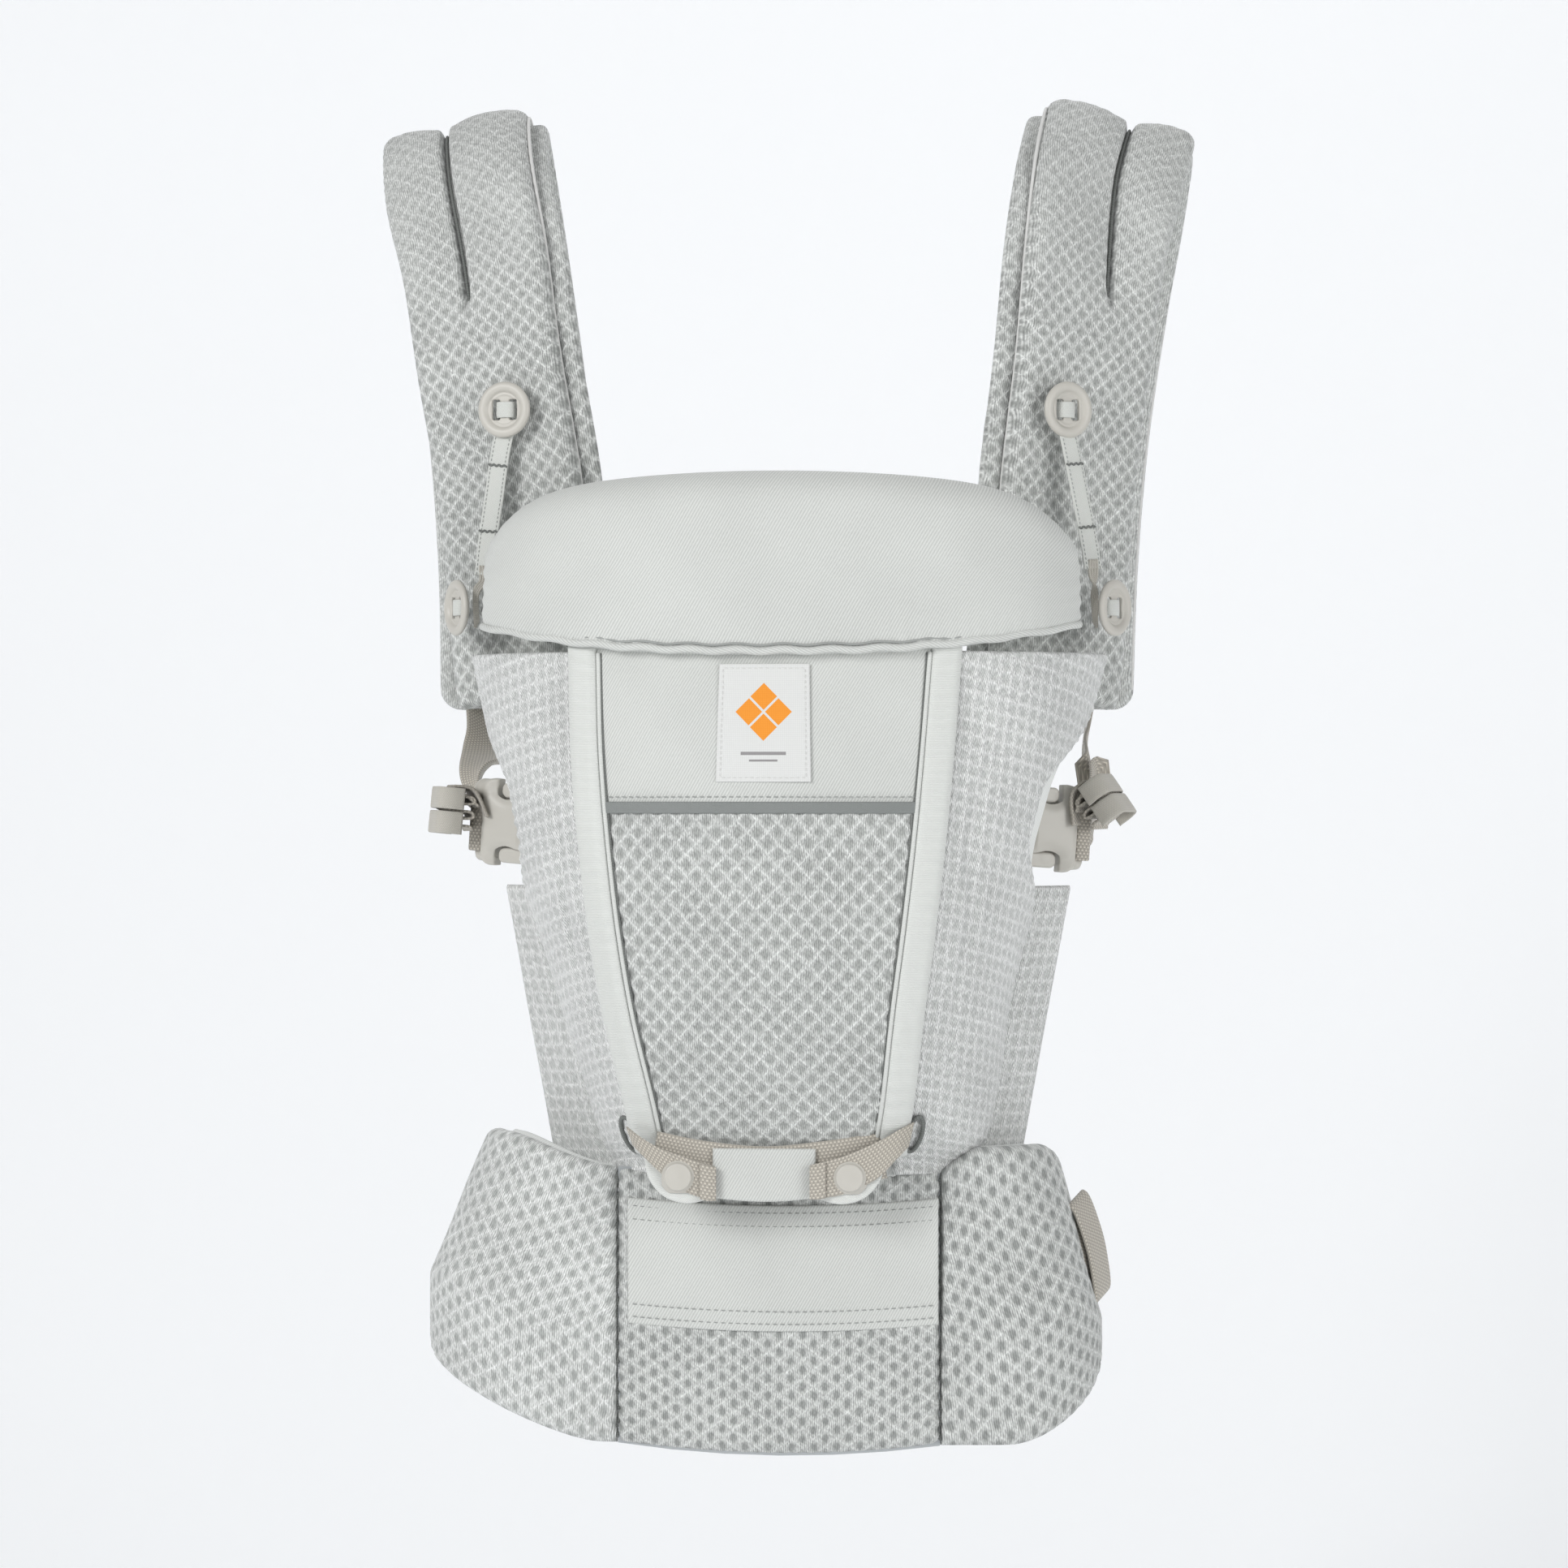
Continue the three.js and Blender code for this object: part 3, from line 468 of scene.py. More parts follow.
LIGHT_MESH = grey(226, 228, 225)
STRAP_FADE = (0.174, 0.284)  # metres up a strap between which its openings close
MATERIALS = {
    # The second colour of each air mesh is the painted shade in its openings.
    "air_mesh_belt": air_mesh("air_mesh_belt", WEAVES["belt"], LIGHT_MESH, grey(160, 163, 160)),
    "air_mesh_panel": air_mesh("air_mesh_panel", WEAVES["panel"], LIGHT_MESH, grey(166, 169, 165)),
    "air_mesh_side": air_mesh("air_mesh_side", WEAVES["side"], grey(248, 249, 247), grey(196, 199, 196)),
    # A lighter copy of the belt mesh for the left wing: painted light on the side that faces the key lamp.
    "air_mesh_belt_painted_light": air_mesh("air_mesh_belt_painted_light", WEAVES["belt"], grey(240, 242, 239), grey(184, 187, 184)),
    "air_mesh_strap": air_mesh("air_mesh_strap", WEAVES["strap"], LIGHT_MESH, grey(162, 165, 161),
                               STRAP_FADE),
    "twill": twill("twill", grey(213, 215, 211)),
    "twill_lining": twill("twill_lining", grey(226, 228, 225), 0.8),
    "satin": ribbed("satin", grey(215, 217, 213), 0.84, 0.0009, 0.45, 0.3),
    "webbing": ribbed("webbing", grey(214, 207, 194), 0.34, 0.0021, 0.7, 0.25, 0.0017),
    "tape": ribbed("tape", grey(212, 214, 209), 0.85, 0.0008, 0.65, 0.2, 0.0009),
    "elastic": ribbed("elastic", grey(202, 198, 188), 0.7, 0.0010, 0.7, 0.2, 0.0008),
    "plastic": plastic("plastic", grey(192, 189, 181)),
    "strip": ribbed("strip", grey(130, 134, 132), 0.88, 0.0007, 0.3, 0.1, 0.0007),
    "thread": thread("thread", grey(160, 163, 160)),
    "thread_white": thread("thread_white", grey(226, 226, 223)),
    # Dark cord colour for seams, bartacks and buttonhole rims; the cords in creases use it as painted shade.
    "seam": ribbed("seam", grey(116, 119, 116), 0.7, 0.0014, 0.8, 0.1),
    "foam": thread("foam", grey(170, 174, 176)),
}


# ---------------------------------------------------------------- mesh builders

def add_object(name, mesh, material, ride_on="root", slot=None, replaces=()):
    made = bpy.data.objects.new(name, mesh)
    bpy.context.collection.objects.link(made)
    if material:
        mesh.materials.append(MATERIALS[material])
    if ride_on:
        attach(made, ride_on)
    if replaces:
        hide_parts(*replaces)
    return made


def closed_up(bm, name):
    """The finished mesh of a bmesh, with its faces turned outwards."""
    bmesh.ops.recalc_face_normals(bm, faces=bm.faces)
    mesh = bpy.data.meshes.new(name)
    bm.to_mesh(mesh)
    bm.free()
    return mesh


def grid_normals(place):
    return unit(np.cross(np.gradient(place, axis=0), np.gradient(place, axis=1)))


def metric(place, middle=None):
    """Weave coordinates of a grid of points: metres across from its middle column, and along it."""
    middle = place.shape[0] // 2 if middle is None else middle
    across = np.linalg.norm(np.diff(place, axis=0), axis=2)
    across = np.concatenate([np.zeros((1, place.shape[1])), np.cumsum(across, axis=0)])
    down = np.broadcast_to(lengths(place[middle]), place.shape[:2])
    return across - across[middle], down


def edge_reaches(place):
    """How far each grid point is from the two edges of its row and the two of its column."""
    across = np.linalg.norm(np.diff(place, axis=0), axis=2)
    across = np.concatenate([np.zeros((1, place.shape[1])), np.cumsum(across, axis=0)])
    down = np.linalg.norm(np.diff(place, axis=1), axis=2)
    down = np.concatenate([np.zeros((place.shape[0], 1)), np.cumsum(down, axis=1)], axis=1)
    return across, across[-1:] - across, down, down[:, -1:] - down


def rim_profile(reaches, rim):
    """How thick a pad is at each grid point, from 0 at its edges to 1 past the rounded rim."""
    total = 1.0
    for reach, radius in zip(reaches, rim):
        t = np.clip(reach / radius, 0, 1)
        total = total * np.sqrt(np.clip(1 - (1 - t) ** 2, 0, 1))
    return total


def puckers(reaches, amounts):
    """Gathers that run out from sewn edges; amounts are their heights at the four edges."""
    total = 0.0
    for edge, (reach, amount) in enumerate(zip(reaches, amounts)):
        along_it = reaches[2] if edge < 2 else reaches[0]
        phase = along_it * 2 * math.pi / (7.5 * MM) + 2.2 * np.sin(along_it * 61 + edge) + edge
        fade = np.exp(-reach / (9 * MM)) * (0.65 + 0.35 * np.sin(along_it * 43 + 2 * edge))
        total = total + amount * fade * np.sin(phase)
    return total


def closed_mesh(name, front, back, weave):
    """A closed mesh of two grids of points that share their border."""
    nu, nv = front.shape[:2]
    front_index = np.arange(nu * nv).reshape(nu, nv)
    back_index = front_index.copy()
    back_index[1:-1, 1:-1] = nu * nv + np.arange((nu - 2) * (nv - 2)).reshape(nu - 2, nv - 2)
    vertices = np.concatenate([front.reshape(-1, 3), back[1:-1, 1:-1].reshape(-1, 3)])

    def quads(index):
        corners = (index[:-1, :-1], index[1:, :-1], index[1:, 1:], index[:-1, 1:])
        return np.stack([c.ravel() for c in corners], axis=1)

    faces = np.concatenate([quads(front_index), quads(back_index)[:, ::-1]])
    mesh = bpy.data.meshes.new(name)
    mesh.vertices.add(len(vertices))
    mesh.vertices.foreach_set("co", vertices.ravel())
    mesh.loops.add(faces.size)
    mesh.loops.foreach_set("vertex_index", faces.ravel().astype(np.int32))
    mesh.polygons.add(len(faces))
    mesh.polygons.foreach_set("loop_start", np.arange(0, faces.size, 4, dtype=np.int32))
    mesh.polygons.foreach_set("use_smooth", np.ones(len(faces), bool))
    mesh.update(calc_edges=True)
    a, b = weave
    flat = np.stack([a.ravel(), b.ravel()], axis=1)
    flat = np.concatenate([flat, np.stack([a[1:-1, 1:-1].ravel(), b[1:-1, 1:-1].ravel()], axis=1)])
    layer = mesh.uv_layers.new(name="weave")
    layer.data.foreach_set("uv", flat[faces.ravel()].astype(np.float32).ravel())
    mesh.validate()
    return mesh


def pad(name, place, front, back, rim, material, relief=None, back_relief=None, weave=None, pucker=None,
        **words):
    """A closed pad round the grid place, front and back metres thick, with rounded edges."""
    normal = grid_normals(place)
    reaches = edge_reaches(place)
    profile = rim_profile(reaches, rim)
    weave = metric(place) if weave is None else weave
    front_face = place + normal * (profile * front)[..., None]
    back_face = place - normal * (profile * back)[..., None]
    shown = smooth(profile, 0.3, 1.0)
    if pucker:
        front_face = front_face + normal * (puckers(reaches, pucker) * smooth(profile, 0.05, 0.8))[..., None]
    if relief is not None:
        front_face = front_face + normal * (relief(*weave) * shown)[..., None]
    if back_relief is not None:
        back_face = back_face - normal * (back_relief(*weave) * shown)[..., None]
    return add_object(name, closed_mesh(name, front_face, back_face, weave), material, **words)


def tube(name, points, radius, material, sides=8, steps=None, **words):
    """A round cord along a smooth curve through points; radius may be a list of one value a step."""
    chord = np.sum(steps_between(np.asarray(points, float)))
    size = float(np.max(radius))
    steps = steps or max(8, int(chord / (1.2 * size)))
    place, tangent = along(points, steps)
    radius = np.broadcast_to(np.interp(np.linspace(0, 1, steps), np.linspace(0, 1, np.size(radius)),
                                       np.atleast_1d(radius)), steps)
    side = np.zeros_like(place)
    hint = np.array([0.0, 0.0, 1.0]) if abs(tangent[0][2]) < 0.9 else np.array([1.0, 0.0, 0.0])
    for i in range(steps):
        side[i] = unit(hint - tangent[i] * hint.dot(tangent[i]))
        hint = side[i]
    other = np.cross(tangent, side)
    bm = bmesh.new()
    uv = bm.loops.layers.uv.new("weave")
    length = lengths(place)
    rings = []
    for i in range(steps):
        ring = []
        for k in range(sides):
            angle = 2 * math.pi * k / sides
            out = math.cos(angle) * side[i] + math.sin(angle) * other[i]
            ring.append(bm.verts.new(place[i] + radius[i] * out))
        rings.append(ring)
    for i in range(steps - 1):
        for k in range(sides):
            n = (k + 1) % sides
            face = bm.faces.new((rings[i][k], rings[i + 1][k], rings[i + 1][n], rings[i][n]))
            face.smooth = True
            around = 2 * math.pi * size / sides
            marks = ((k, i), (k, i + 1), (k + 1, i + 1), (k + 1, i))
            for loop, (u, v) in zip(face.loops, marks):
                loop[uv].uv = (u * around, length[v])
    for ring, end, out in ((rings[0], 0, -1), (rings[-1], -1, 1)):
        tip = bm.verts.new(place[end] + out * tangent[end] * radius[end] * 0.6)
        for k in range(sides):
            n = (k + 1) % sides
            bm.faces.new((ring[k], ring[n], tip) if out < 0 else (ring[n], ring[k], tip)).smooth = True
    return add_object(name, closed_up(bm, name), material, **words)


def ribbon(name, points, widths, width, thick, material, across=7, step=1.6 * MM, twist=None, **words):
    """Flat webbing along a curve; widths are directions of its width at the start and the end."""
    chord = np.sum(steps_between(np.asarray(points, float)))
    count = max(6, int(chord / step))
    place, tangent = along(points, count)
    t = np.linspace(0, 1, count)[:, None]
    low, high = twist or (0.0, 1.0)
    blend = smooth(t, low, high)
    side = lerp(np.asarray(widths[0], float), np.asarray(widths[1], float), blend)
    side = unit(side - tangent * np.sum(side * tangent, axis=1, keepdims=True))
    share = np.linspace(0, 1, count)
    width = np.interp(share, np.linspace(0, 1, np.size(width)), np.atleast_1d(width))
    reach = (edge_spaced(across, 0.04, 3) - 0.5)[:, None] * width[None, :]
    grid = place[None] + side[None] * reach[:, :, None]
    rim = (thick * 0.6,) * 4
    return pad(name, grid, thick / 2, thick / 2, rim, material, **words)


def stitches(name, points, normal, material="thread", size=mm(2.5, 1.3, 0.32), **words):
    """A row of stitches along a curve, as one mesh; size is a stitch's length, the gap and its radius."""
    length, gap, radius = size
    points = np.asarray(points, float)
    count = max(2, int(np.sum(steps_between(points)) / (length + gap)))
    place, tangent = along(points, count * 2 + 1)
    place, tangent = place[1::2], tangent[1::2]
    normal = np.broadcast_to(np.asarray(normal, float), points.shape)
    reached = lengths(points)
    at = np.linspace(0, reached[-1], count * 2 + 1)[1::2]
    normal = np.stack([np.interp(at, reached, normal[:, k]) for k in range(3)], axis=1)
    side = unit(np.cross(tangent, normal))
    up = np.cross(side, tangent)
    bm = bmesh.new()
    profile = ((-0.5, 0.15), (-0.38, 0.8), (0.0, 1.0), (0.38, 0.8), (0.5, 0.15))
    for c, t, s, n in zip(place, tangent, side, up):
        rings = []
        for share, swell in profile:
            middle = c + t * share * length + n * radius * (0.9 * swell - 0.4)
            rings.append([bm.verts.new(middle + radius * swell * (math.cos(a) * s + math.sin(a) * n))
                          for a in np.linspace(0, 2 * math.pi, 7)[:-1]])
        for low, high in zip(rings, rings[1:]):
            for k in range(6):
                m = (k + 1) % 6
                bm.faces.new((low[k], low[m], high[m], high[k])).smooth = True
        bm.faces.new(rings[0][::-1])
        bm.faces.new(rings[-1])
    return add_object(name, closed_up(bm, name), material, **words)


# ---------------------------------------------------------------- waist belt

SEAM_X = mm(-88, 82)
BELT_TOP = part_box("belt_center_cover")[1][2]
BELT_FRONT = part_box("belt_center_cover")[0][1]
BELT_MIDDLE_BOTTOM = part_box("belt_center_cover")[0][2]
BELT_SEAM_BOTTOM = -70 * MM


def belt_bottom(x):
    """Height of the belt's lower edge, which is lowest at the seams."""
    swing = 2 * (x - SEAM_X[0]) / (SEAM_X[1] - SEAM_X[0]) - 1
    return lerp(BELT_MIDDLE_BOTTOM, BELT_SEAM_BOTTOM, swing * swing)


def belt_grid(u, v, y, inset=0.0):
    x = lerp(SEAM_X[0] + inset, SEAM_X[1] - inset, u)[:, None]
    low = belt_bottom(x) + inset
    z = lerp(low, BELT_TOP - inset, v[None, :])
    x = np.broadcast_to(x, z.shape)
    return np.stack([x, np.broadcast_to(y, z.shape), z], axis=2)


def holes(kind, depth):
    """A relief that sinks the openings of one air mesh into a surface."""
    return lambda a, b: -depth * hole_depth(a, b, WEAVES[kind])


def make_belt():
    u, v = edge_spaced(110, 0.035), edge_spaced(100, 0.06)
    grid = belt_grid(u, v, -12.2 * MM)
    lumps = lambda a, b: holes("belt", 0.5 * MM)(a, b) + 0.7 * MM * waves(a, b, 3)
    cover = pad("belt_cover", grid, 10.0 * MM, 6.5 * MM, mm(5, 5, 9, 8), "air_mesh_belt",
                lumps, pucker=mm(2.3, 2.3, 0.6, 0.5), slot="air_mesh",
                replaces=("belt_center_cover",))
    u, v = edge_spaced(40, 0.02), edge_spaced(36, 0.03)
    lining = pad("belt_lining", belt_grid(u, v, -3.0 * MM, 0.5 * MM), 2.4 * MM, 3.0 * MM, (3 * MM,) * 4,
                 "twill_lining", slot="cotton_twill", replaces=("belt_center_lining",))
    make_belt_band()
    for hand, side in SIDES.items():
        seam = SEAM_X[0] if side < 0 else SEAM_X[1]
        z = np.linspace(belt_bottom(seam) + 3 * MM, BELT_TOP - 3 * MM, 30)
        wobble = 0.9 * MM * np.sin(z * 430) + 0.6 * MM * np.sin(z * 1150 + side)
        points = np.stack([seam + wobble, np.full(30, BELT_FRONT + 5.0 * MM), z], axis=1)
        # A dark cord down each seam: the seam itself, widened to carry the painted shade of its puckered
        # groove.
        sizes = (1.15 + 0.35 * np.sin(np.arange(60) * 1.9)) * MM
        tube(f"belt_seam_cord_with_shade_{hand}", points, sizes, "seam", 8, 140, slot="air_mesh")


def band_curve(x, z):
    """Height of a line across the twill band, which dips a little in its middle."""
    swing = (x - (SEAM_X[0] + SEAM_X[1]) / 2) / (SEAM_X[1] - SEAM_X[0]) * 2
    return z - 4.5 * MM * (1 - swing * swing)


def make_belt_band():
    low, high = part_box("belt_band")
    y = BELT_FRONT - 0.9 * MM
    u, v = edge_spaced(60, 0.012), edge_spaced(30, 0.02)
    x = lerp(low[0] - 1 * MM, high[0] + 2 * MM, u)[:, None]
    z = lerp(band_curve(x, low[2] + 3 * MM), band_curve(x, high[2] + 3 * MM), v[None, :])
    grid = np.stack([np.broadcast_to(x, z.shape), np.full(z.shape, y), z], axis=2)
    sag = 0.5 * MM * waves(grid[..., 0], grid[..., 2], 8, low=30, high=120)
    grid[..., 1] += sag
    band = pad("belt_band_twill", grid, 1.1 * MM, 1.0 * MM, (1.2 * MM,) * 4, "twill", slot="cotton_twill",
               replaces=("belt_band",))
    x = np.linspace(low[0] + 1 * MM, high[0], 24)
    for row, offset in enumerate(mm(4, 10.5, 55, 62)):
        points = np.stack([x, np.full(24, y - 1.2 * MM), band_curve(x, low[2] + 3 * MM + offset)], axis=1)
        stitches(f"belt_band_stitches_{row + 1}", points, (0, -1, 0), slot="cotton_twill")


# radius: of the bend round the wearer; straight: the run past the bend; flare: how far the lower part
# leans out, and top_flare the share of that at the top; crown: rise of the top edge; crest, fall and sweep:
# the shares of the wing's length over which its top rises, its top falls and its bottom rises
WINGS = {
    "left": dict(side=-1, radius=69 * MM, flare=38 * MM, straight=76 * MM, crown=16 * MM, crest=(-0.02, 0.42),
                 fall=(0.50, 0.66), sweep=(0.05, 0.75), top_flare=0.16),
    "right": dict(side=1, radius=58 * MM, flare=24 * MM, straight=76 * MM, crown=11 * MM, crest=(-0.02, 0.14),
                  fall=(0.38, 0.58), sweep=(0.22, 0.78), top_flare=0.06),
}


def wing_place(wing, u, v, depth):
    """Points of a belt wing; u runs from the seam to its end, v up it, depth in from its outer face."""
    quarter = wing["radius"] * math.pi / 2
    run = u * (quarter + wing["straight"])
    angle = np.minimum(run / wing["radius"], math.pi / 2)
    past = np.clip((run - quarter) / wing["straight"], 0, 1)
    start = SEAM_X[0] if wing["side"] < 0 else SEAM_X[1]
    reach = wing["radius"] * np.sin(angle) - 16 * MM * past**2
    y = BELT_FRONT + wing["radius"] * (1 - np.cos(angle)) + past * wing["straight"]
    turn = angle + 0.42 * past
    top = BELT_TOP + wing["crown"] * smooth(u, *wing["crest"]) - 9 * MM * smooth(u, *wing["fall"])
    top = top - 43 * MM * smooth(u, 0.6, 1.05)
    low = BELT_SEAM_BOTTOM + 58 * MM * smooth(u, *wing["sweep"]) + 10 * MM * smooth(u, 0.7, 1.0)
    z = lerp(low, top, v)
    spread = smooth(u, 0.05, 0.5) * (1 - 0.35 * smooth(u, 0.6, 1.0))
    out = wing["flare"] * spread * np.minimum(1, wing["top_flare"] + (top - z) / (92 * MM)) - depth
    x = start + wing["side"] * (reach + out * np.sin(turn))
    return np.stack([x, y - out * np.cos(turn), z], axis=-1)


def make_wings():
    for hand, wing in WINGS.items():
        u, v = edge_spaced(120, 0.03), edge_spaced(90, 0.06)
        if wing["side"] < 0:
            u = u[::-1]
        grid = wing_place(wing, u[:, None], v[None, :], 7 * MM)
        lumps = lambda a, b: holes("belt", 0.5 * MM)(a, b) + 0.9 * MM * waves(a, b, 5)
        # The left wing gets the lighter copy of the belt mesh: painted light.
        material = "air_mesh_belt_painted_light" if hand == "left" else "air_mesh_belt"
        cover = pad(f"wing_cover_{hand}", grid, 7.6 * MM, 5.2 * MM, mm(5, 5, 7, 7),
                    material, lumps, pucker=mm(2.2, 2.2, 0.6, 0.6), ride_on=None,
                    slot="air_mesh", replaces=(f"belt_wing_pad_{hand}",))
        lining_grid = wing_place(wing, lerp(0.01, 0.99, u)[:, None], v[None, :], 13.6 * MM)
        lining = pad(f"wing_lining_{hand}", lining_grid, 2.0 * MM, 2.6 * MM, (4 * MM,) * 4, "twill_lining",
                     ride_on=None, slot="cotton_twill", replaces=(f"belt_wing_lining_{hand}",))
        for piece, fill in ((cover, 0.7), (lining, 0.3)):
            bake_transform(piece)


# ---------------------------------------------------------------- front panel

PANEL_HEIGHTS = np.array([78, 88, 112, 158, 200, 240, 290, 343]) * MM
# at each height: x of the left and right edges, y of the front and of the edges, x of the two seams
PANEL_VALUES = np.array([
    (-94, 98, -33, 5, -68, 57),
    (-99, 104, -46, 6, -70, 58),
    (-106, 110, -63, 7, -74, 62),
    (-119, 118, -83, 9, -83, 68),
    (-132, 129, -94, 11, -89, 74),
    (-146, 141, -100, 13, -93, 79),
    (-157, 156, -101, 15, -97, 84),
    (-167, 170, -94, 18, -99, 88),
]) * MM
STRIP_Z = (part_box("reflective_strip")[0][2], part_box("reflective_strip")[1][2])
PANEL_TOP = PANEL_HEIGHTS[-1]
PANEL_EDGE = 0.96  # where the panel's outer edge is, as a turn round its curve out of 1
PANEL_MESH_LOW, SIDE_PANEL_LOW, LINING_LOW, BINDING_LOW = 76 * MM, 72 * MM, 70 * MM, 84 * MM
BINDING_HALF = 7.6 * MM
SIDE_WAIST = {"left": 0.21, "right": 0.25}  # how far the buckles pull the side panels in, as a turn
LINING_WAIST = 0.13
SEAT_WING_Z = mm(63, 222)


def panel_shape(z):
    return np.moveaxis(cubic(z, PANEL_HEIGHTS, PANEL_VALUES), -1, 0)


def panel_turn(x, z):
    """The turn at which the panel's outer face has this x."""
    left, right = panel_shape(z)[:2]
    return np.arcsin(np.clip((x - (left + right) / 2) / ((right - left) / 2), -1, 1)) * 2 / math.pi


def panel_place(turn, z):
    """Points of the panel's outer face; turn runs from -1 at its left edge to 1 at its right one."""
    left, right, front, edge = panel_shape(z)[:4]
    angle = turn * math.pi / 2
    reach = np.maximum(np.cos(angle), 0) ** 0.75
    x = (left + right) / 2 + (right - left) / 2 * np.sin(angle)
    return np.stack([x, edge - (edge - front) * reach, z], axis=-1)


def level_rows(low, high, u, v):
    """Heights from low to high on a grid of u by v."""
    return np.broadcast_to(lerp(low, high, v)[None, :], (len(u), len(v)))


def panel_grid(low, high, left, right, u, v):
    """A grid on the panel's outer face; left and right give x at a height, low and high the heights."""
    z = level_rows(low, high, u, v)
    turn = lerp(panel_turn(left(z), z), panel_turn(right(z), z), u[:, None])
    return panel_place(turn, z)


def lift(grid, height):
    """The grid moved out along its own normals."""
    return grid + grid_normals(grid) * height


def seam_left(z, shift=0.0):
    return panel_shape(z)[4] + shift


def seam_right(z, shift=0.0):
    return panel_shape(z)[5] + shift


def make_panel_centre():
    u = edge_spaced(120, 0.015)
    left, right = (lambda z: seam_left(z, 1 * MM)), (lambda z: seam_right(z, -1 * MM))
    grid = panel_grid(PANEL_MESH_LOW, STRIP_Z[0] + 1 * MM, left, right, u, edge_spaced(140, 0.012))
    lumps = lambda a, b: holes("panel", 0.7 * MM)(a, b) + 0.8 * MM * waves(a, b, 11)
    mesh = pad("panel_mesh", lift(grid, -2 * MM), 2.2 * MM, 1.8 * MM, (1.5 * MM,) * 4, "air_mesh_panel",
               lumps, slot="air_mesh", replaces=("panel_mesh_center",))
    grid = panel_grid(STRIP_Z[0] - 1 * MM, PANEL_TOP + 4 * MM, left, right, u[::2], edge_spaced(40, 0.02))
    top = pad("panel_top", lift(grid, -1.6 * MM), 2.0 * MM, 1.6 * MM, (1.4 * MM,) * 4, "twill",
              lambda a, b: 0.7 * MM * waves(a, b, 12), slot="cotton_twill", replaces=("panel_top_twill",))
    strip = make_strip_and_stitches(left, right)
    make_label()


def make_strip_and_stitches(left, right):
    inset = 6 * MM
    sides = (lambda z: left(z) + inset), (lambda z: right(z) - inset)
    low, high = STRIP_Z
    grid = panel_grid(low - 1 * MM, high - 1 * MM, *sides, edge_spaced(60, 0.006), edge_spaced(5, 0.2))
    strip = pad("strip_tape", lift(grid, 1.0 * MM), 0.8 * MM, 0.9 * MM, (0.8 * MM,) * 4, "strip",
                slot="reflective_tape", replaces=("reflective_strip",))
    row = panel_grid(high + 1.5 * MM, high + 1.6 * MM, *sides, np.linspace(0, 1, 40), np.array([0.0, 1.0]))
    normal = grid_normals(row)[:, 0]
    stitches("panel_top_stitches", row[:, 0] + normal * 0.9 * MM, normal, slot="cotton_twill")
    return strip


LABEL_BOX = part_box("label")


def make_label():
    low, high = LABEL_BOX
    tilt = lambda z: 1.2 * MM * (z - low[2]) / (high[2] - low[2])
    sides = (lambda z: low[0] + tilt(z)), (lambda z: high[0] - tilt(z))
    u, v = edge_spaced(30, 0.03), edge_spaced(36, 0.03)
    grid = panel_grid(low[2], high[2], *sides, u, v)
    weave = (np.broadcast_to(u[:, None], grid.shape[:2]), np.broadcast_to(v[None], grid.shape[:2]))
    patch = pad("label_patch", lift(grid, 1.3 * MM), 0.5 * MM, 0.6 * MM, (0.5 * MM,) * 4, "label",
                weave=weave, slot="woven_label", replaces=("label",))
    near, low_near = 0.045, 0.045 * 0.8
    far, high_far = 1 - near, 1 - low_near
    marks = [(near, low_near), (far, low_near), (far, high_far), (near, high_far)]
    for number, (a, b) in enumerate(zip(marks, marks[1:] + marks[:1])):
        t = np.linspace(0, 1, 12)
        us, vs = lerp(a[0], b[0], t), lerp(a[1], b[1], t)
        z = lerp(low[2], high[2], vs)
        x = lerp(sides[0](z), sides[1](z), us)
        points = panel_place(panel_turn(x, z), z) + np.array([0, -1.9 * MM, 0])
        stitches(f"label_stitches_{number + 1}", points, (0, -1, 0), "thread_white",
                 mm(1.8, 1.0, 0.22), slot="woven_label")


def label_material():
    """White woven label with a plain motif: four orange lozenges over two grey bars."""
    shader = Shader("label", 0.75, 0.2)
    _, a, b = shader.weave_coordinates()

    def away(coordinate, centre):
        return shader.math("ABSOLUTE", shader.math("SUBTRACT", coordinate, centre))

    def lozenge(x, y, width, height):
        u = shader.times(away(a, x), 1 / width)
        v = shader.times(away(b, y), 1 / height)
        return shader.math("LESS_THAN", shader.plus(u, v), 1.0)

    def bar(x, y, width, height):
        u = shader.math("LESS_THAN", away(a, x), width)
        v = shader.math("LESS_THAN", away(b, y), height)
        return shader.times(u, v)

    motif = None
    for x, y in ((0.5, 0.72), (0.5, 0.46), (0.34, 0.59), (0.66, 0.59)):
        mark = lozenge(x, y, 0.145, 0.115)
        motif = mark if motif is None else shader.math("MAXIMUM", motif, mark)
    bars = shader.math("MAXIMUM", bar(0.5, 0.24, 0.24, 0.014), bar(0.5, 0.18, 0.15, 0.009))
    weft = shader.wave(b, 0.011)
    warp = shader.wave(a, 0.014)
    knit = shader.times(weft, warp)
    ground = shader.mix(knit, grey(204, 205, 203), grey(228, 228, 226))
    orange = shader.mix(knit, grey(226, 138, 30), grey(240, 158, 50))
    shader.colour(shader.mix(bars, shader.mix(motif, ground, orange), grey(140, 138, 138)))
    shader.bump(knit, 0.0001, 0.5)
    return shader.material


MATERIALS["label"] = label_material()


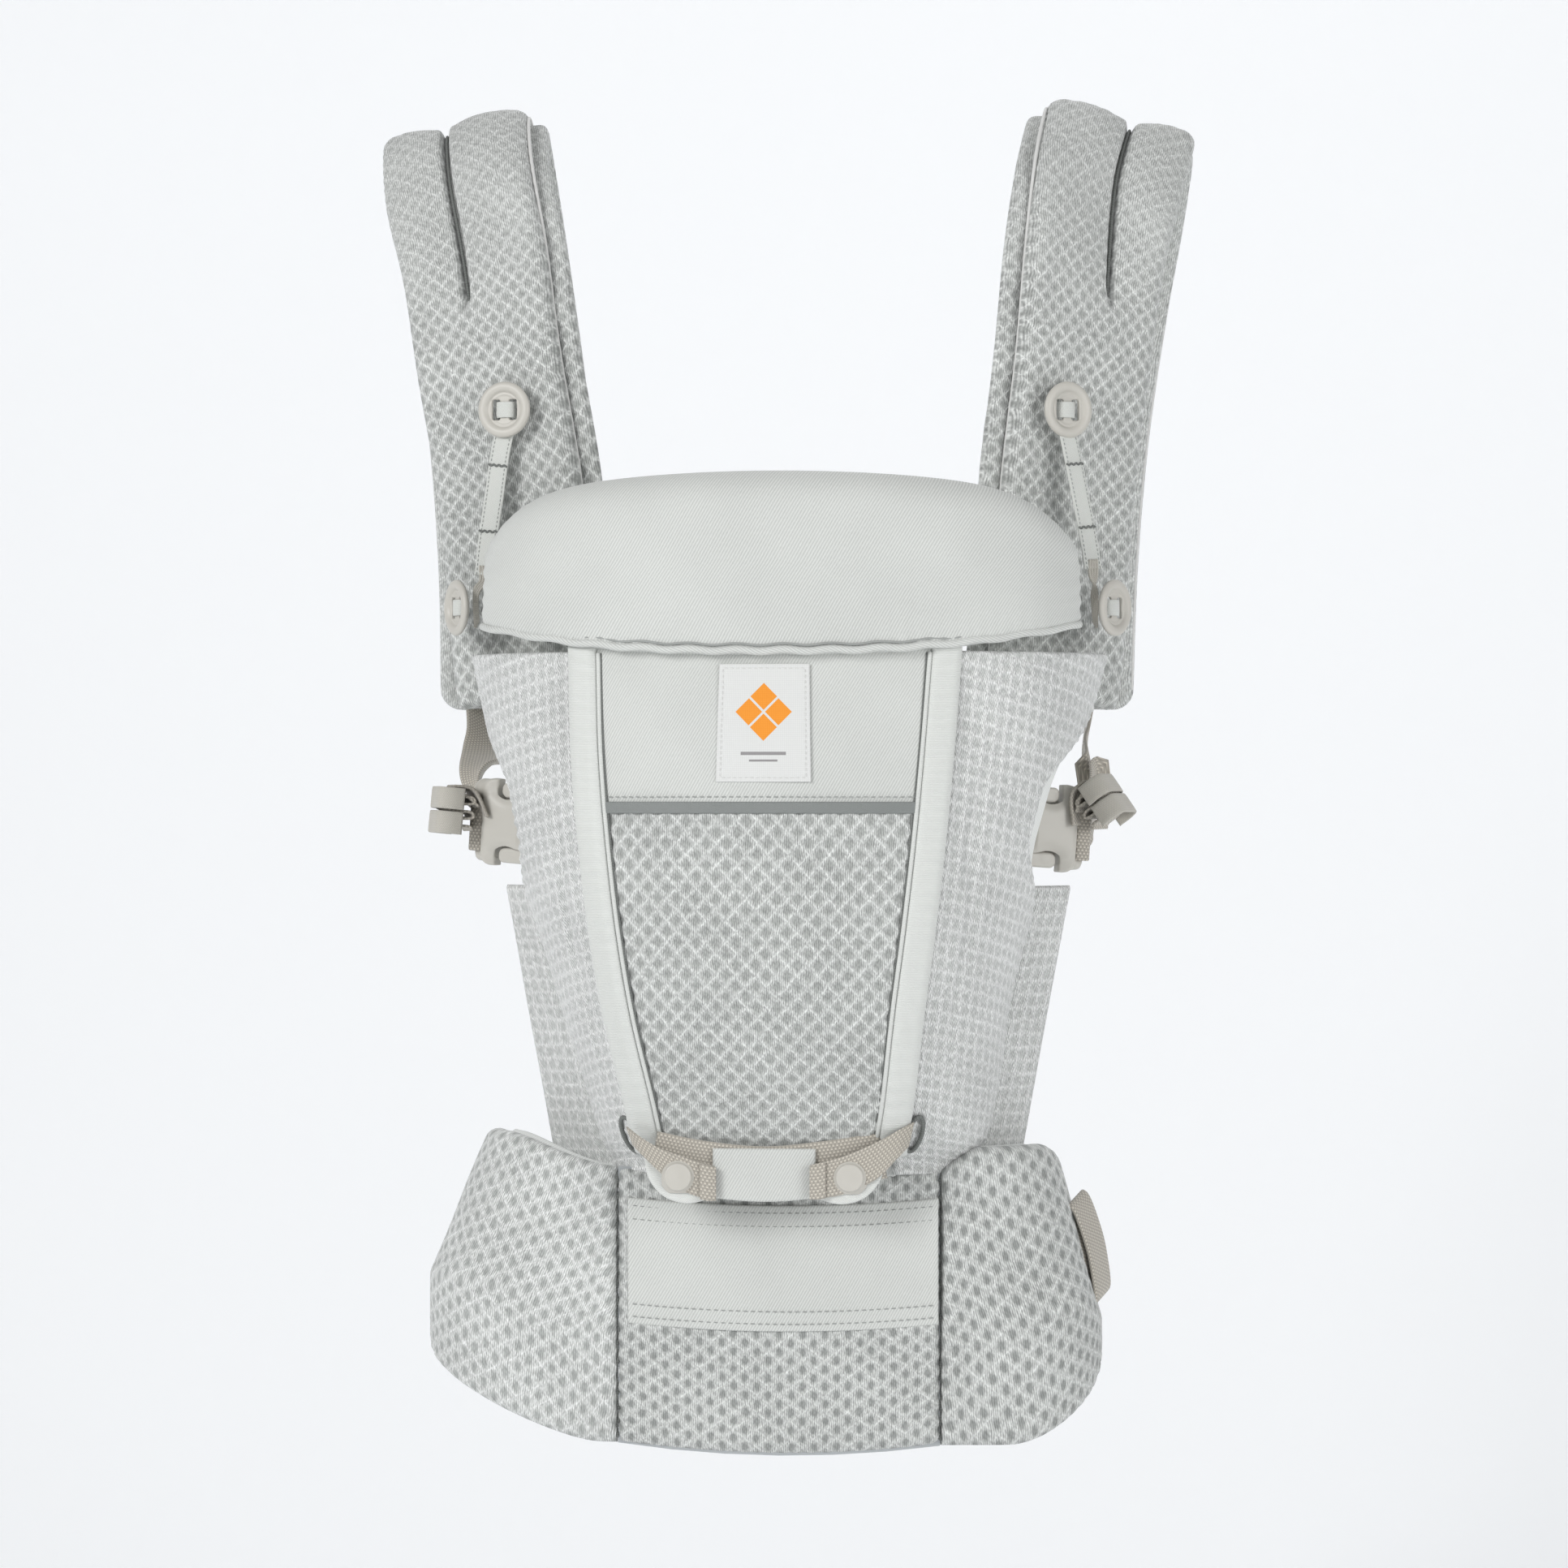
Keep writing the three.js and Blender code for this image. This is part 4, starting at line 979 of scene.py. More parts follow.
def make_bindings():
    """The satin bindings: a soft rolled tape over each seam, and a thin piping on its inner edge."""
    for hand, side in SIDES.items():
        seam = seam_left if side < 0 else seam_right
        grid = panel_grid(BINDING_LOW, PANEL_TOP + 4 * MM, lambda z: seam(z, -BINDING_HALF),
                          lambda z: seam(z, BINDING_HALF), edge_spaced(14, 0.12, 4), edge_spaced(150, 0.01))
        roll = lambda a, b: 0.25 * MM * waves(a, b, 21, low=60, high=240)
        rim = mm(5.5, 5.5, 3, 1.5)
        tape = pad(f"binding_tape_{hand}", lift(grid, 1.0 * MM), 2.9 * MM, 0.9 * MM, rim, "satin", roll,
                   pucker=(0.35 * MM, 0.35 * MM, 0.5 * MM, 0), slot="satin_binding",
                   replaces=(f"binding_{hand}",))
        z = np.linspace(BINDING_LOW + 2 * MM, PANEL_TOP, 60)
        # The piping, and a dark cord of painted shade in the crease beside it.
        for kind, inward, lifted, radius, material, sides, steps in (
                ("piping", 0.6 * MM, 1.5 * MM, 1.15 * MM, "satin", 8, 160),
                ("crease", 2.2 * MM, 0.7 * MM, 0.5 * MM, "seam", 6, 120)):
            x = seam(z, -side * (BINDING_HALF + inward))
            line = panel_place(panel_turn(x, z), z) + np.array([0, -lifted, 0])
            tube(f"binding_{kind}_{hand}", line, radius, material, sides, steps, slot="satin_binding")


def panel_waist(z):
    """1 where the buckles pull a side panel's outer edge in, and 0 above and below them."""
    return smooth(z, 195 * MM, 250 * MM) * (1 - smooth(z, 270 * MM, 322 * MM))


def side_folds(grid, side, seed):
    """Soft vertical pleats in a side panel, strongest near the buckle."""
    z = grid[..., 2]
    across = np.linspace(0, 1, grid.shape[0])[:, None]
    near = np.exp(-((z - 215 * MM) / (70 * MM)) ** 2)
    pleat = np.exp(-(((across if side > 0 else 1 - across) - 0.30 - 0.5 * (z - 0.215)) / 0.05) ** 2)
    soft = waves(across * 0.12, z, seed, low=25, high=70)
    return -1.6 * MM * near * pleat + 1.3 * MM * soft


def make_side_panels():
    for hand, side in SIDES.items():
        seam = seam_left if side < 0 else seam_right
        v = edge_spaced(170, 0.012)
        u = edge_spaced(90, 0.03)
        z_line = level_rows(SIDE_PANEL_LOW, PANEL_TOP + 1 * MM, u, v)
        inner = panel_turn(seam(z_line, side * 0.8 * MM), z_line)
        waist = SIDE_WAIST[hand] * panel_waist(z_line)
        outer = side * (PANEL_EDGE + 0.01 - waist)
        turn = lerp(inner, outer, (u if side > 0 else 1 - u)[:, None])
        grid = panel_place(turn, z_line)
        grid = grid + grid_normals(grid) * (side_folds(grid, side, 31) - 2 * MM)[..., None]
        a, b = metric(grid, 0 if side > 0 else grid.shape[0] - 1)
        lean = 0.22 * side
        weave = (a, b + lean * a)
        panel = pad(f"side_mesh_{hand}", grid, 2.2 * MM, 1.8 * MM, (1.5 * MM,) * 4, "air_mesh_side",
                    holes("side", 0.5 * MM), weave=weave, pucker=mm(0.6, 0.6, 1.0, 0.3),
                    slot="air_mesh", replaces=(f"side_panel_{hand}",))


def make_panel_lining():
    u, v = edge_spaced(90, 0.01), edge_spaced(70, 0.01)
    z = level_rows(LINING_LOW, PANEL_TOP, u, v)
    turn = lerp(-1, 1, u)[:, None] * (PANEL_EDGE - LINING_WAIST * panel_waist(z))
    grid = lift(panel_place(turn, z), -7.2 * MM)
    lining = pad("panel_lining_cloth", grid, 1.0 * MM, 1.2 * MM, (1.2 * MM,) * 4, "twill_lining",
                 lambda a, b: 0.6 * MM * waves(a, b, 41), lambda a, b: 0.8 * MM * waves(a, b, 42),
                 slot="cotton_twill", replaces=("panel_lining",))


def make_seat_wings():
    for hand, side in SIDES.items():
        u, v = edge_spaced(40, 0.05), edge_spaced(80, 0.02)
        z = level_rows(*SEAT_WING_Z, u, v)
        shape = panel_shape(z)
        inner = np.abs(shape[0] if side < 0 else shape[1]) - 14 * MM
        outer = lerp(128 * MM, 154 * MM, np.clip((z - 80 * MM) / (142 * MM), -0.2, 1))
        outer = outer - (6 * MM if side > 0 else 0)
        share = (1 - u if side < 0 else u)[:, None]
        x = side * lerp(inner, outer, share)
        y = lerp(shape[3] + 9 * MM, 40 * MM, share**1.4)
        grid = np.stack([x, y, z], axis=-1)
        grid[..., 1] += 1.2 * MM * waves(grid[..., 0], grid[..., 2], 51)
        wing = pad(f"seat_wing_pad_{hand}", grid, 3.0 * MM, 2.6 * MM, (3 * MM,) * 4, "air_mesh_side",
                   holes("side", 0.5 * MM), slot="air_mesh", replaces=(f"seat_wing_{hand}",))


# ---------------------------------------------------------------- head support

PILLOW_EDGE_Y, PILLOW_FRONT, PILLOW_BULGE = -8 * MM, -99 * MM, 5 * MM
PILLOW_CENTRE, PILLOW_HALF = -1 * MM, 160 * MM
PILLOW_TURN, PIPING_TURN = 0.93, 0.85  # how far round the cushion and its piping go, out of 1


def pillow_place(turn, rise):
    """Points of the cushion's face; turn runs from -1 to 1 across it, rise from 0 to 1 up it."""
    across = np.sin(turn * math.pi / 2)
    low = 341 * MM + 17 * MM * np.abs(across) ** 2.6
    high = 437 * MM - 12 * MM * across**2 - 22 * MM * np.abs(across) ** 8
    z = lerp(low, high, rise)
    crown = np.sin(math.pi * rise)
    reach = np.maximum(np.cos(turn * math.pi / 2), 0) ** 0.75
    y = PILLOW_EDGE_Y - (PILLOW_EDGE_Y - PILLOW_FRONT + PILLOW_BULGE * (crown - 1)) * reach
    x = PILLOW_CENTRE + PILLOW_HALF * across
    return np.stack([x, y, z], axis=-1)


def make_pillow():
    u, v = edge_spaced(150, 0.03, 6), edge_spaced(50, 0.1, 6)
    turn = lerp(-PILLOW_TURN, PILLOW_TURN, u)[:, None]
    rise = np.broadcast_to(v[None, :], (len(u), len(v)))
    grid = pillow_place(np.broadcast_to(turn, rise.shape), rise)
    grid = grid + grid_normals(grid) * -15 * MM * np.array([1.0, 1.0, 0.35])
    middle = np.cos(turn * math.pi / 2) ** 0.6
    grid[..., 1] -= 4.5 * MM * middle * (1 - smooth(rise, 0.0, 0.5))
    puff = lambda a, b: 0.9 * MM * waves(a, b, 61, low=15, high=60)
    pillow = pad("pillow_cover", grid, 15.5 * MM, 12 * MM, mm(13, 13, 5, 20), "twill", puff,
                 pucker=mm(1.2, 1.2, 0.7, 0.3), ride_on="head_support", slot="cotton_twill",
                 replaces=("head_pillow",))
    count = 140
    turn = np.linspace(-PIPING_TURN, PIPING_TURN, count)
    rail = pillow_place(turn, np.full(count, 0.03))
    forward = np.cos(turn * math.pi / 2) ** 0.6
    rail[:, 1] += lerp(5.0 * MM, -5.4 * MM, forward)
    rail[:, 2] += 0.5 * MM * np.sin(rail[:, 0] * 260)
    tube("pillow_piping", rail, 2.1 * MM, "twill", 8, 260, ride_on="head_support", slot="cotton_twill")
    groove = rail + np.array([0, -0.4 * MM, 3.0 * MM])
    tube("pillow_piping_seam", groove, 0.6 * MM, "thread", 6, 260, ride_on="head_support",
         slot="cotton_twill")


# ---------------------------------------------------------------- shoulder straps

# middle line of each strap in millimetres, from its front end over the shoulder to its rear end,
# and how far its outer edge turns away from the wearer at both ends, in degrees
STRAPS = {
    "left": dict(side=-1, turn_front=15, turn_rear=12, points=[
        (-136, 12, 322), (-139, 14, 346), (-147, 15, 432), (-159, 19, 500), (-168, 28, 556), (-178, 45, 600),
        (-185, 82, 628), (-184, 120, 598), (-178, 140, 540), (-170, 147, 470), (-165, 148, 400),
        (-163, 145, 318)]),
    "right": dict(side=1, turn_front=34, turn_rear=12, points=[
        (136, 13, 322), (139, 15, 346), (145, 17, 432), (153, 21, 500), (159, 30, 556), (165, 46, 600),
        (172, 83, 628), (168, 120, 598), (158, 140, 540), (148, 147, 470), (142, 148, 400),
        (139, 145, 318)]),
}
STRAP_WIDTH = 82 * MM
STRAP_LENGTH = 724 * MM
STRAP_CORNER = 12 * MM  # radius of the rear corners
STRAP_STEPS = 200
SHOULDER_TOP = 0.439  # where a strap crosses the top of the shoulder, as a share of its length
CREASE_SPAN = (0.314, 0.575)  # where the dark cord of painted shade in the crease down a strap starts and ends


def strap_frame(strap, count):
    """Middle line, direction of the width and outward normal at count places along a strap."""
    middle, tangent = along(np.array(strap["points"]) * MM, count)
    t = np.linspace(0, 1, count)
    turn = np.radians(lerp(strap["turn_front"], -strap["turn_rear"], smooth(t, 0.227, 0.807)))
    dip = 0.27 * np.exp(-((t - SHOULDER_TOP) / 0.155) ** 2) * strap["side"]
    width = np.stack([np.cos(turn), strap["side"] * np.sin(turn), -dip], axis=1)
    width = unit(width - tangent * np.sum(width * tangent, axis=1, keepdims=True))
    return middle, width, np.cross(width, tangent)


def strap_grid(strap, u, v, width, depth, shift=0.0):
    """Points of a strap; u runs across it and v along it, depth is how far out from its middle line."""
    middle, side, out = strap_frame(strap, STRAP_STEPS)
    knots = np.linspace(0, 1, STRAP_STEPS)
    middle, side, out = (np.stack([np.interp(v, knots, a[:, k]) for k in range(3)], axis=1)
                         for a in (middle, side, out))
    past = np.clip(1 - (1 - v) * STRAP_LENGTH / STRAP_CORNER, 0, 1)
    inset = STRAP_CORNER * (1 - np.sqrt(np.maximum(1 - past**2, 0)))
    reach = (u - 0.5)[:, None] * (width - 2 * inset[None, :] * (width > 0)) + shift
    grid = middle[None] + side[None] * reach[..., None] + out[None] * depth
    droop = 9 * MM * np.abs(2 * u - 1)[:, None] ** 3 * np.exp(-((v - SHOULDER_TOP) / 0.073) ** 2)[None, :]
    grid[..., 2] -= droop
    return grid


def crease_place(side, share, offset):
    """How far off a strap's middle its crease runs; the right one starts further out."""
    return side * (offset + (5 * MM if side > 0 else 0) * (1 - smooth(share, 0.275, SHOULDER_TOP)))


def make_straps():
    for hand, strap in STRAPS.items():
        side = strap["side"]
        u, v = edge_spaced(84, 0.12, 6), edge_spaced(420, 0.012)
        lobe = (u - 0.5) * STRAP_WIDTH
        split = crease_place(side, v, 6 * MM)[None, :]
        crease = np.exp(-((lobe[:, None] - split) / (1.9 * MM)) ** 2)
        valley = np.exp(-((lobe[:, None] - split) / (12 * MM)) ** 2)
        length_fade = smooth(v, 0.306, 0.333)[None, :] * (1 - smooth(v, 0.536, 0.633)[None, :])
        grid = strap_grid(strap, u, v, STRAP_WIDTH, 3.0 * MM, shift=side * 1.0 * MM)
        swell = 8.6 * MM * (1 - 0.95 * crease * length_fade - 0.42 * valley * length_fade)
        bumps = lambda a, b: holes("strap", 0.4 * MM)(a, b) + 0.8 * MM * waves(a, b, 71, low=30, high=110)
        cover = pad(f"strap_cover_{hand}", grid, swell, 4.0 * MM, mm(9, 9, 8, 8),
                    "air_mesh_strap", bumps, pucker=mm(0.8, 0.8, 0.4, 0.4), slot="air_mesh",
                    replaces=(f"shoulder_pad_{hand}",))
        # A dark cord of painted shade in the crease between the strap's two lobes.
        at = np.linspace(*CREASE_SPAN, 60)
        line = strap_grid(strap, np.array([0.5]), at, 0.0, 3.6 * MM)
        _, width, _ = strap_frame(strap, STRAP_STEPS)
        width = width[(at * (STRAP_STEPS - 1)).astype(int)] * crease_place(side, at, 7 * MM)[:, None]
        tube(f"strap_crease_shade_{hand}", line[0] + width, 0.9 * MM, "seam", 6, 200, slot="air_mesh")
        under = strap_grid(strap, edge_spaced(40, 0.08), v, STRAP_WIDTH + 9 * MM, -5.0 * MM,
                           shift=-side * 3 * MM)
        wrinkle = lambda a, b: 1.5 * MM * waves(a * 0.6, b, 72, count=9, low=90, high=300)
        lining = pad(f"strap_lining_{hand}", under, 4.4 * MM, 5.0 * MM, (5 * MM,) * 4, "air_mesh_strap",
                     wrinkle, wrinkle, slot="air_mesh")
        middle, width, out = strap_frame(strap, 60)
        for edge in (-1, 1):
            line = middle + width * (edge * (STRAP_WIDTH / 2 - 0.8 * MM) + side * 1.0 * MM) + out * 1.8 * MM
            name = "inner" if edge == -side else "outer"
            tube(f"strap_seam_{name}_{hand}", line[1:-1], 1.0 * MM, "thread_white", 6, 260, slot="air_mesh")


# ---------------------------------------------------------------- moulded pieces

def rounded_box(x, y, z, centre, half, radius):
    """Distance in millimetres to a box with rounded edges, negative inside it, as for all these shapes."""
    gaps = [np.abs(a - c) - (h - radius) for a, c, h in zip((x, y, z), centre, half)]
    outside = np.sqrt(sum(np.maximum(g, 0) ** 2 for g in gaps))
    return outside + np.minimum(np.maximum(np.maximum(gaps[0], gaps[1]), gaps[2]), 0) - radius


def rounded_corner(a, b):
    """Distance to the corner of a square, from the distances to its two sides."""
    return np.sqrt(np.maximum(a, 0) ** 2 + np.maximum(b, 0) ** 2) + np.minimum(np.maximum(a, b), 0)


def rounded_plate(x, y, z, centre, half, corner, edge):
    """A flat plate with big rounded corners seen from the front and small rounded edges."""
    gx = np.abs(x - centre[0]) - (half[0] - corner)
    gy = np.abs(y - centre[1]) - (half[1] - corner)
    outline = rounded_corner(gx, gy) - corner
    return rounded_corner(outline + edge, np.abs(z - centre[2]) - (half[2] - edge)) - edge


def capsule(x, y, z, start, end, radius):
    start, end = np.array(start, float), np.array(end, float)
    line = end - start
    share = ((x - start[0]) * line[0] + (y - start[1]) * line[1] + (z - start[2]) * line[2]) / line.dot(line)
    share = np.clip(share, 0, 1)
    offsets = [a - (s + share * l) for a, s, l in zip((x, y, z), start, line)]
    return np.sqrt(sum(o**2 for o in offsets)) - radius


def joined(a, b, fillet=0.6):
    """Union of two shapes with a small fillet between them."""
    t = np.clip(0.5 + 0.5 * (b - a) / fillet, 0, 1)
    return b * (1 - t) + a * t - fillet * t * (1 - t)


def without(a, b, fillet=0.5):
    """The first shape with the second cut out of it, its edge eased."""
    return -joined(-a, b, fillet)


def sampled(field, low, high, cell):
    """Points in millimetres and quads of the surface where the field is zero."""
    axes = [np.arange(a - 2 * cell, b + 3 * cell, cell) for a, b in zip(low, high)]
    x, y, z = np.meshgrid(*axes, indexing="ij", sparse=True)
    grid = openvdb.FloatGrid(3.0)
    grid.copyFromArray(np.clip(field(x, y, z) / cell, -3, 3).astype(np.float32))
    points, quads = grid.convertToQuads(0.0)
    return points * cell + np.array([a[0] for a in axes]), quads[:, ::-1]


def moulded(name, shape, matrix, **words):
    """A smooth piece of sampled points, put in place by a frame of slide, across, normal and origin."""
    points, quads = shape
    place = points * MM @ matrix[:3] + matrix[3]
    quads = quads if np.linalg.det(matrix[:3]) > 0 else quads[:, ::-1]
    a, b, c = (place[quads[:, k]] for k in range(3))
    if np.sum(a * np.cross(b, c)) < 0:
        quads = quads[:, ::-1]
    mesh = bpy.data.meshes.new(name)
    mesh.from_pydata(place.tolist(), [], quads.tolist())
    mesh.polygons.foreach_set("use_smooth", np.ones(len(quads), bool))
    return add_object(name, mesh, "plastic", slot="moulded_plastic", **words)


def placement(origin, slide, normal, size=1.0):
    """Rows of a frame: slide, across and normal directions, scaled, and the origin in metres."""
    slide = unit(np.asarray(slide, float))
    across = unit(np.cross(normal, slide))
    return np.array([slide * size, across * size, np.cross(slide, across) * size, np.asarray(origin) * MM])


# ---------------------------------------------------------------- buttons and pillow tapes

# place in millimetres of each button's middle, and how far it faces to the side, in degrees
BUTTONS = {
    "strap_button_left": ((-149, -3, 474), -16),
    "strap_button_right": ((147, -6, 472), 36),
    "side_button_left": ((-172, -12, 369), -60),
    "side_button_right": ((171, -13, 368), 58),
}


def button_shape(x, y, z):
    """A ring of a rim round a thin web with two slots for the tape."""
    radial = np.sqrt(x**2 + y**2)
    rim = np.sqrt((radial - 12.2) ** 2 + ((z - 2.2) * 1.35) ** 2) - 2.6
    web = rounded_plate(x, y, z, (0, 0, 1.1), (12.6, 12.6, 0.9), 12.5, 0.5)
    body = joined(rim, web, 1.6)
    lip = np.sqrt((radial - 8.2) ** 2 + (z - 1.8) ** 2) - 0.5
    body = joined(body, lip, 0.8)
    for side in (-1, 1):
        slot = rounded_plate(x, y, z, (side * 4.8, 0, 1), (2.2, 5.4, 6), 1.0, 0.2)
        body = without(body, slot, 0.7)
    return body


def button_frame(place, turn):
    angle = math.radians(turn)
    normal = np.array([math.sin(angle), -math.cos(angle), 0.0])
    across = np.array([math.cos(angle), math.sin(angle), 0.0])
    return placement(place, across, normal)


def make_buttons():
    shape = sampled(button_shape, (-15, -15, -1), (15, 15, 5), 0.28)
    for name, (place, turn) in BUTTONS.items():
        frame_rows = button_frame(place, turn)
        moulded(f"{name}_disc", shape, frame_rows, ride_on=name, replaces=(name,))
        across, up, out, origin = frame_rows
        bridge = [(-4.9, -1.6), (-4.4, 1.2), (-2.6, 2.7), (0, 3.1), (2.6, 2.7), (4.4, 1.2), (4.9, -1.6)]
        points = [origin + (across * a + out * b) * MM for a, b in bridge]
        ribbon(f"{name}_loop", points, (up, up), 8.4 * MM, 1.0 * MM, "tape", step=0.5 * MM, ride_on=name,
               slot="cotton_tape")


TAPE_PATHS = {
    "left": [(-150, -2, 462), (-152.5, -3.4, 448), (-155, -5, 428), (-158, -8.5, 404), (-159.5, -11, 386)],
    "right": [(148, -7, 460), (150.5, -8.6, 448), (154.5, -11, 428), (159, -13, 404), (161.5, -15, 388)],
}


def make_tapes():
    for hand, side in SIDES.items():
        path = np.array(TAPE_PATHS[hand]) * MM
        turn = math.radians(BUTTONS[f"strap_button_{hand}"][1])
        across = np.array([math.cos(turn), math.sin(turn), 0.0])
        out = np.array([math.sin(turn), -math.cos(turn), 0.0])
        words = dict(ride_on="head_support", slot="cotton_tape")
        ribbon(f"tape_{hand}", path, (across, across), 11 * MM, 1.2 * MM, "tape", step=0.8 * MM,
               replaces=(f"pillow_tape_{hand}",), **words)
        line, tangent = along(path, 40)
        width = unit(across - tangent * (tangent @ across)[:, None])
        for edge in (-1, 1):
            points = line + width * edge * 4.1 * MM + out * 0.75 * MM
            name = "in" if edge == -side else "out"
            stitches(f"tape_stitches_{name}_{hand}", points, out, "thread", mm(1.5, 0.8, 0.2),
                     **words)
        for number, at in enumerate((9, 27)):
            bar = [line[at] + width[at] * w * MM + out * 0.9 * MM for w in np.linspace(-5.3, 5.3, 8)]
            bar = np.array(bar) + np.array([0, 0, 0.35 * MM]) * np.array([1, -1] * 4)[:, None]
            tube(f"tape_bartack_{number + 1}_{hand}", bar, 0.6 * MM, "seam", 6, 40, **words)
        end = line[-1]
        button = np.array(BUTTONS[f"side_button_{hand}"][0]) * MM
        for strand in range(4):
            shift = (strand - 1.5) * 1.5 * MM
            start = end + width[-1] * shift + np.array([0, 0, 5 * MM])
            corner = button + np.array([-side * (9 * MM + shift * 0.4), -2 * MM, 9 * MM - shift * 0.5])
            low = button + np.array([-side * (8.5 * MM + shift * 0.3), 1 * MM, -9 * MM + shift * 0.6])
            line = [start, end + width[-1] * shift - [0, 0, 3 * MM], corner, low]
            tube(f"elastic_{strand + 1}_{hand}", line, 0.85 * MM, "elastic", 7, 60, **words)


# ---------------------------------------------------------------- buckles

# mouth of each side buckle in millimetres, the way it points and its lean in degrees, and its size
BUCKLE_ORIGINS = {
    "side_left": ((-136, 20, 254), 155, 4, 0.93),
    "side_right": ((122, 20, 254), 25, -4, 0.93),
}


WAIST_BUCKLE, WAIST_SIZE = (4, 190, 22), 1.12
CHEST_BUCKLE, CHEST_SIZE = (4, 169, 404), 0.72


def buckle_frames():
    frames = {}
    for name, (origin, turn, lean, size) in BUCKLE_ORIGINS.items():
        a, b = math.radians(turn), math.radians(lean)
        normal = np.array([math.sin(a), -math.cos(a), 0.0])
        slide = np.array([math.cos(a), math.sin(a), math.sin(b)])
        frames[name] = placement(origin, slide, normal if normal[1] < 0 else -normal, size)
    back, to_left = (0.0, 1.0, 0.0), (-1.0, 0.0, 0.0)
    frames["waist"] = placement(WAIST_BUCKLE, to_left, back, WAIST_SIZE)
    frames["chest"] = placement(CHEST_BUCKLE, to_left, back, CHEST_SIZE)
    return frames


def female_shape(up):
    """The receiver: a hollow plate with thumb notches, dished faces and a bar for the webbing."""
    def field(x, y, z):
        body = rounded_plate(x, y, z, (17, 0, 0), (17, 25, 6), 7, 2.0)
        crown = rounded_plate(x, y, z, (20, 0, 0.6), (13, 19, 6.3), 9, 2.6)
        body = joined(body, crown, 1.5)
        body = joined(body, capsule(x, y, z, (29, up * 18.8, 0), (36, up * 18.8, 0), 5.7), 2.0)
        body = joined(body, capsule(x, y, z, (28, -up * 20.5, 0), (36, -up * 19.5, 0), 3.4), 2.0)
        body = joined(body, capsule(x, y, z, (38, -18, 0), (38, 18, 0), 2.0), 1.0)
        body = without(body, rounded_box(x, y, z, (11, 0, 0), (13.5, 20.4, 3.9), 1.0))
        for side in (-1, 1):
            notch = joined(rounded_box(x, y, z, (7, side * 26, 0), (12, 10.5, 20), 2),
                           np.sqrt((x - 17) ** 2 + (y - side * 22.5) ** 2) - 7.2 + 0 * z, 1.0)
            body = without(body, notch, 1.2)
            for face in (-1, 1):
                along_it, out = (x - 17) / 13.5, (y - side * 23) / 12.5
                dish = np.sqrt(along_it**2 + out**2 + ((z - face * 7.6) / 4.2) ** 2)
                body = without(body, (dish - 1) * 4.2, 1.6)
        return body
    return field


def male_shape(x, y, z):
    """The plug without its prongs: a slotted bar and a middle guide."""
    body = rounded_plate(x, y, z, (-8, 0, 0), (7.4, 21.5, 5), 4, 1.6)
    guide = rounded_box(x, y, z, (8, 0, 0), (10, 2.6, 2.2), 0.8)
    body = joined(body, guide, 1.0)
    return without(body, rounded_box(x, y, z, (-11, 0, 0), (1.6, 14, 9), 0.6))


def prong_shape(side):
    """One springy prong with the grip that a finger presses."""
    def field(x, y, z):
        arm = capsule(x, y * side, z, (1.5, 13.4, 0), (17, 15.6, 0), 2.2)
        grip = rounded_plate(x, y * side, z, (13.2, 18.8, 0), (9.2, 4.2, 3.4), 3.4, 1.4)
        tip = rounded_box(x, y * side, z, (16.5, 17.4, 0), (3.0, 2.6, 3.0), 1.0)
        return joined(joined(arm, tip, 1.5), grip, 1.6)
    return field


def make_buckles():
    male = sampled(male_shape, (-16, -22, -6), (19, 22, 6), 0.5)
    prongs = {side: sampled(prong_shape(side), (-2, -24, -6), (25, 24, 6), 0.42) for side in (-1, 1)}
    bodies = {
        "side_left": ("side_buckle_left", "root"),
        "side_right": ("side_buckle_right", "root"),
        "waist": ("belt_wing_left", "belt_wing_right"),
        "chest": ("chest_strap", "chest_strap_right"),
    }
    for name, rows in buckle_frames().items():
        up = 1 if rows[1][2] > 0 else -1
        female = sampled(female_shape(up), (-1, -26, -8), (43, 26, 8), 0.42)
        outer, inner = bodies[name]
        moulded(f"{name}_receiver", female, rows, ride_on=outer, replaces=(f"{name}_buckle_female",))
        moulded(f"{name}_plug", male, rows, ride_on=inner, replaces=(f"{name}_buckle_male",))
        for hand, side in (("upper", up), ("lower", -up)):
            body = f"{name}_prong_{hand}"
            moulded(f"{name}_grip_{hand}", prongs[side], rows, ride_on=body, replaces=(body,))


# ---------------------------------------------------------------- webbing

WEBBING_THICK = 1.7 * MM
UP = (0.0, 0.0, 1.0)


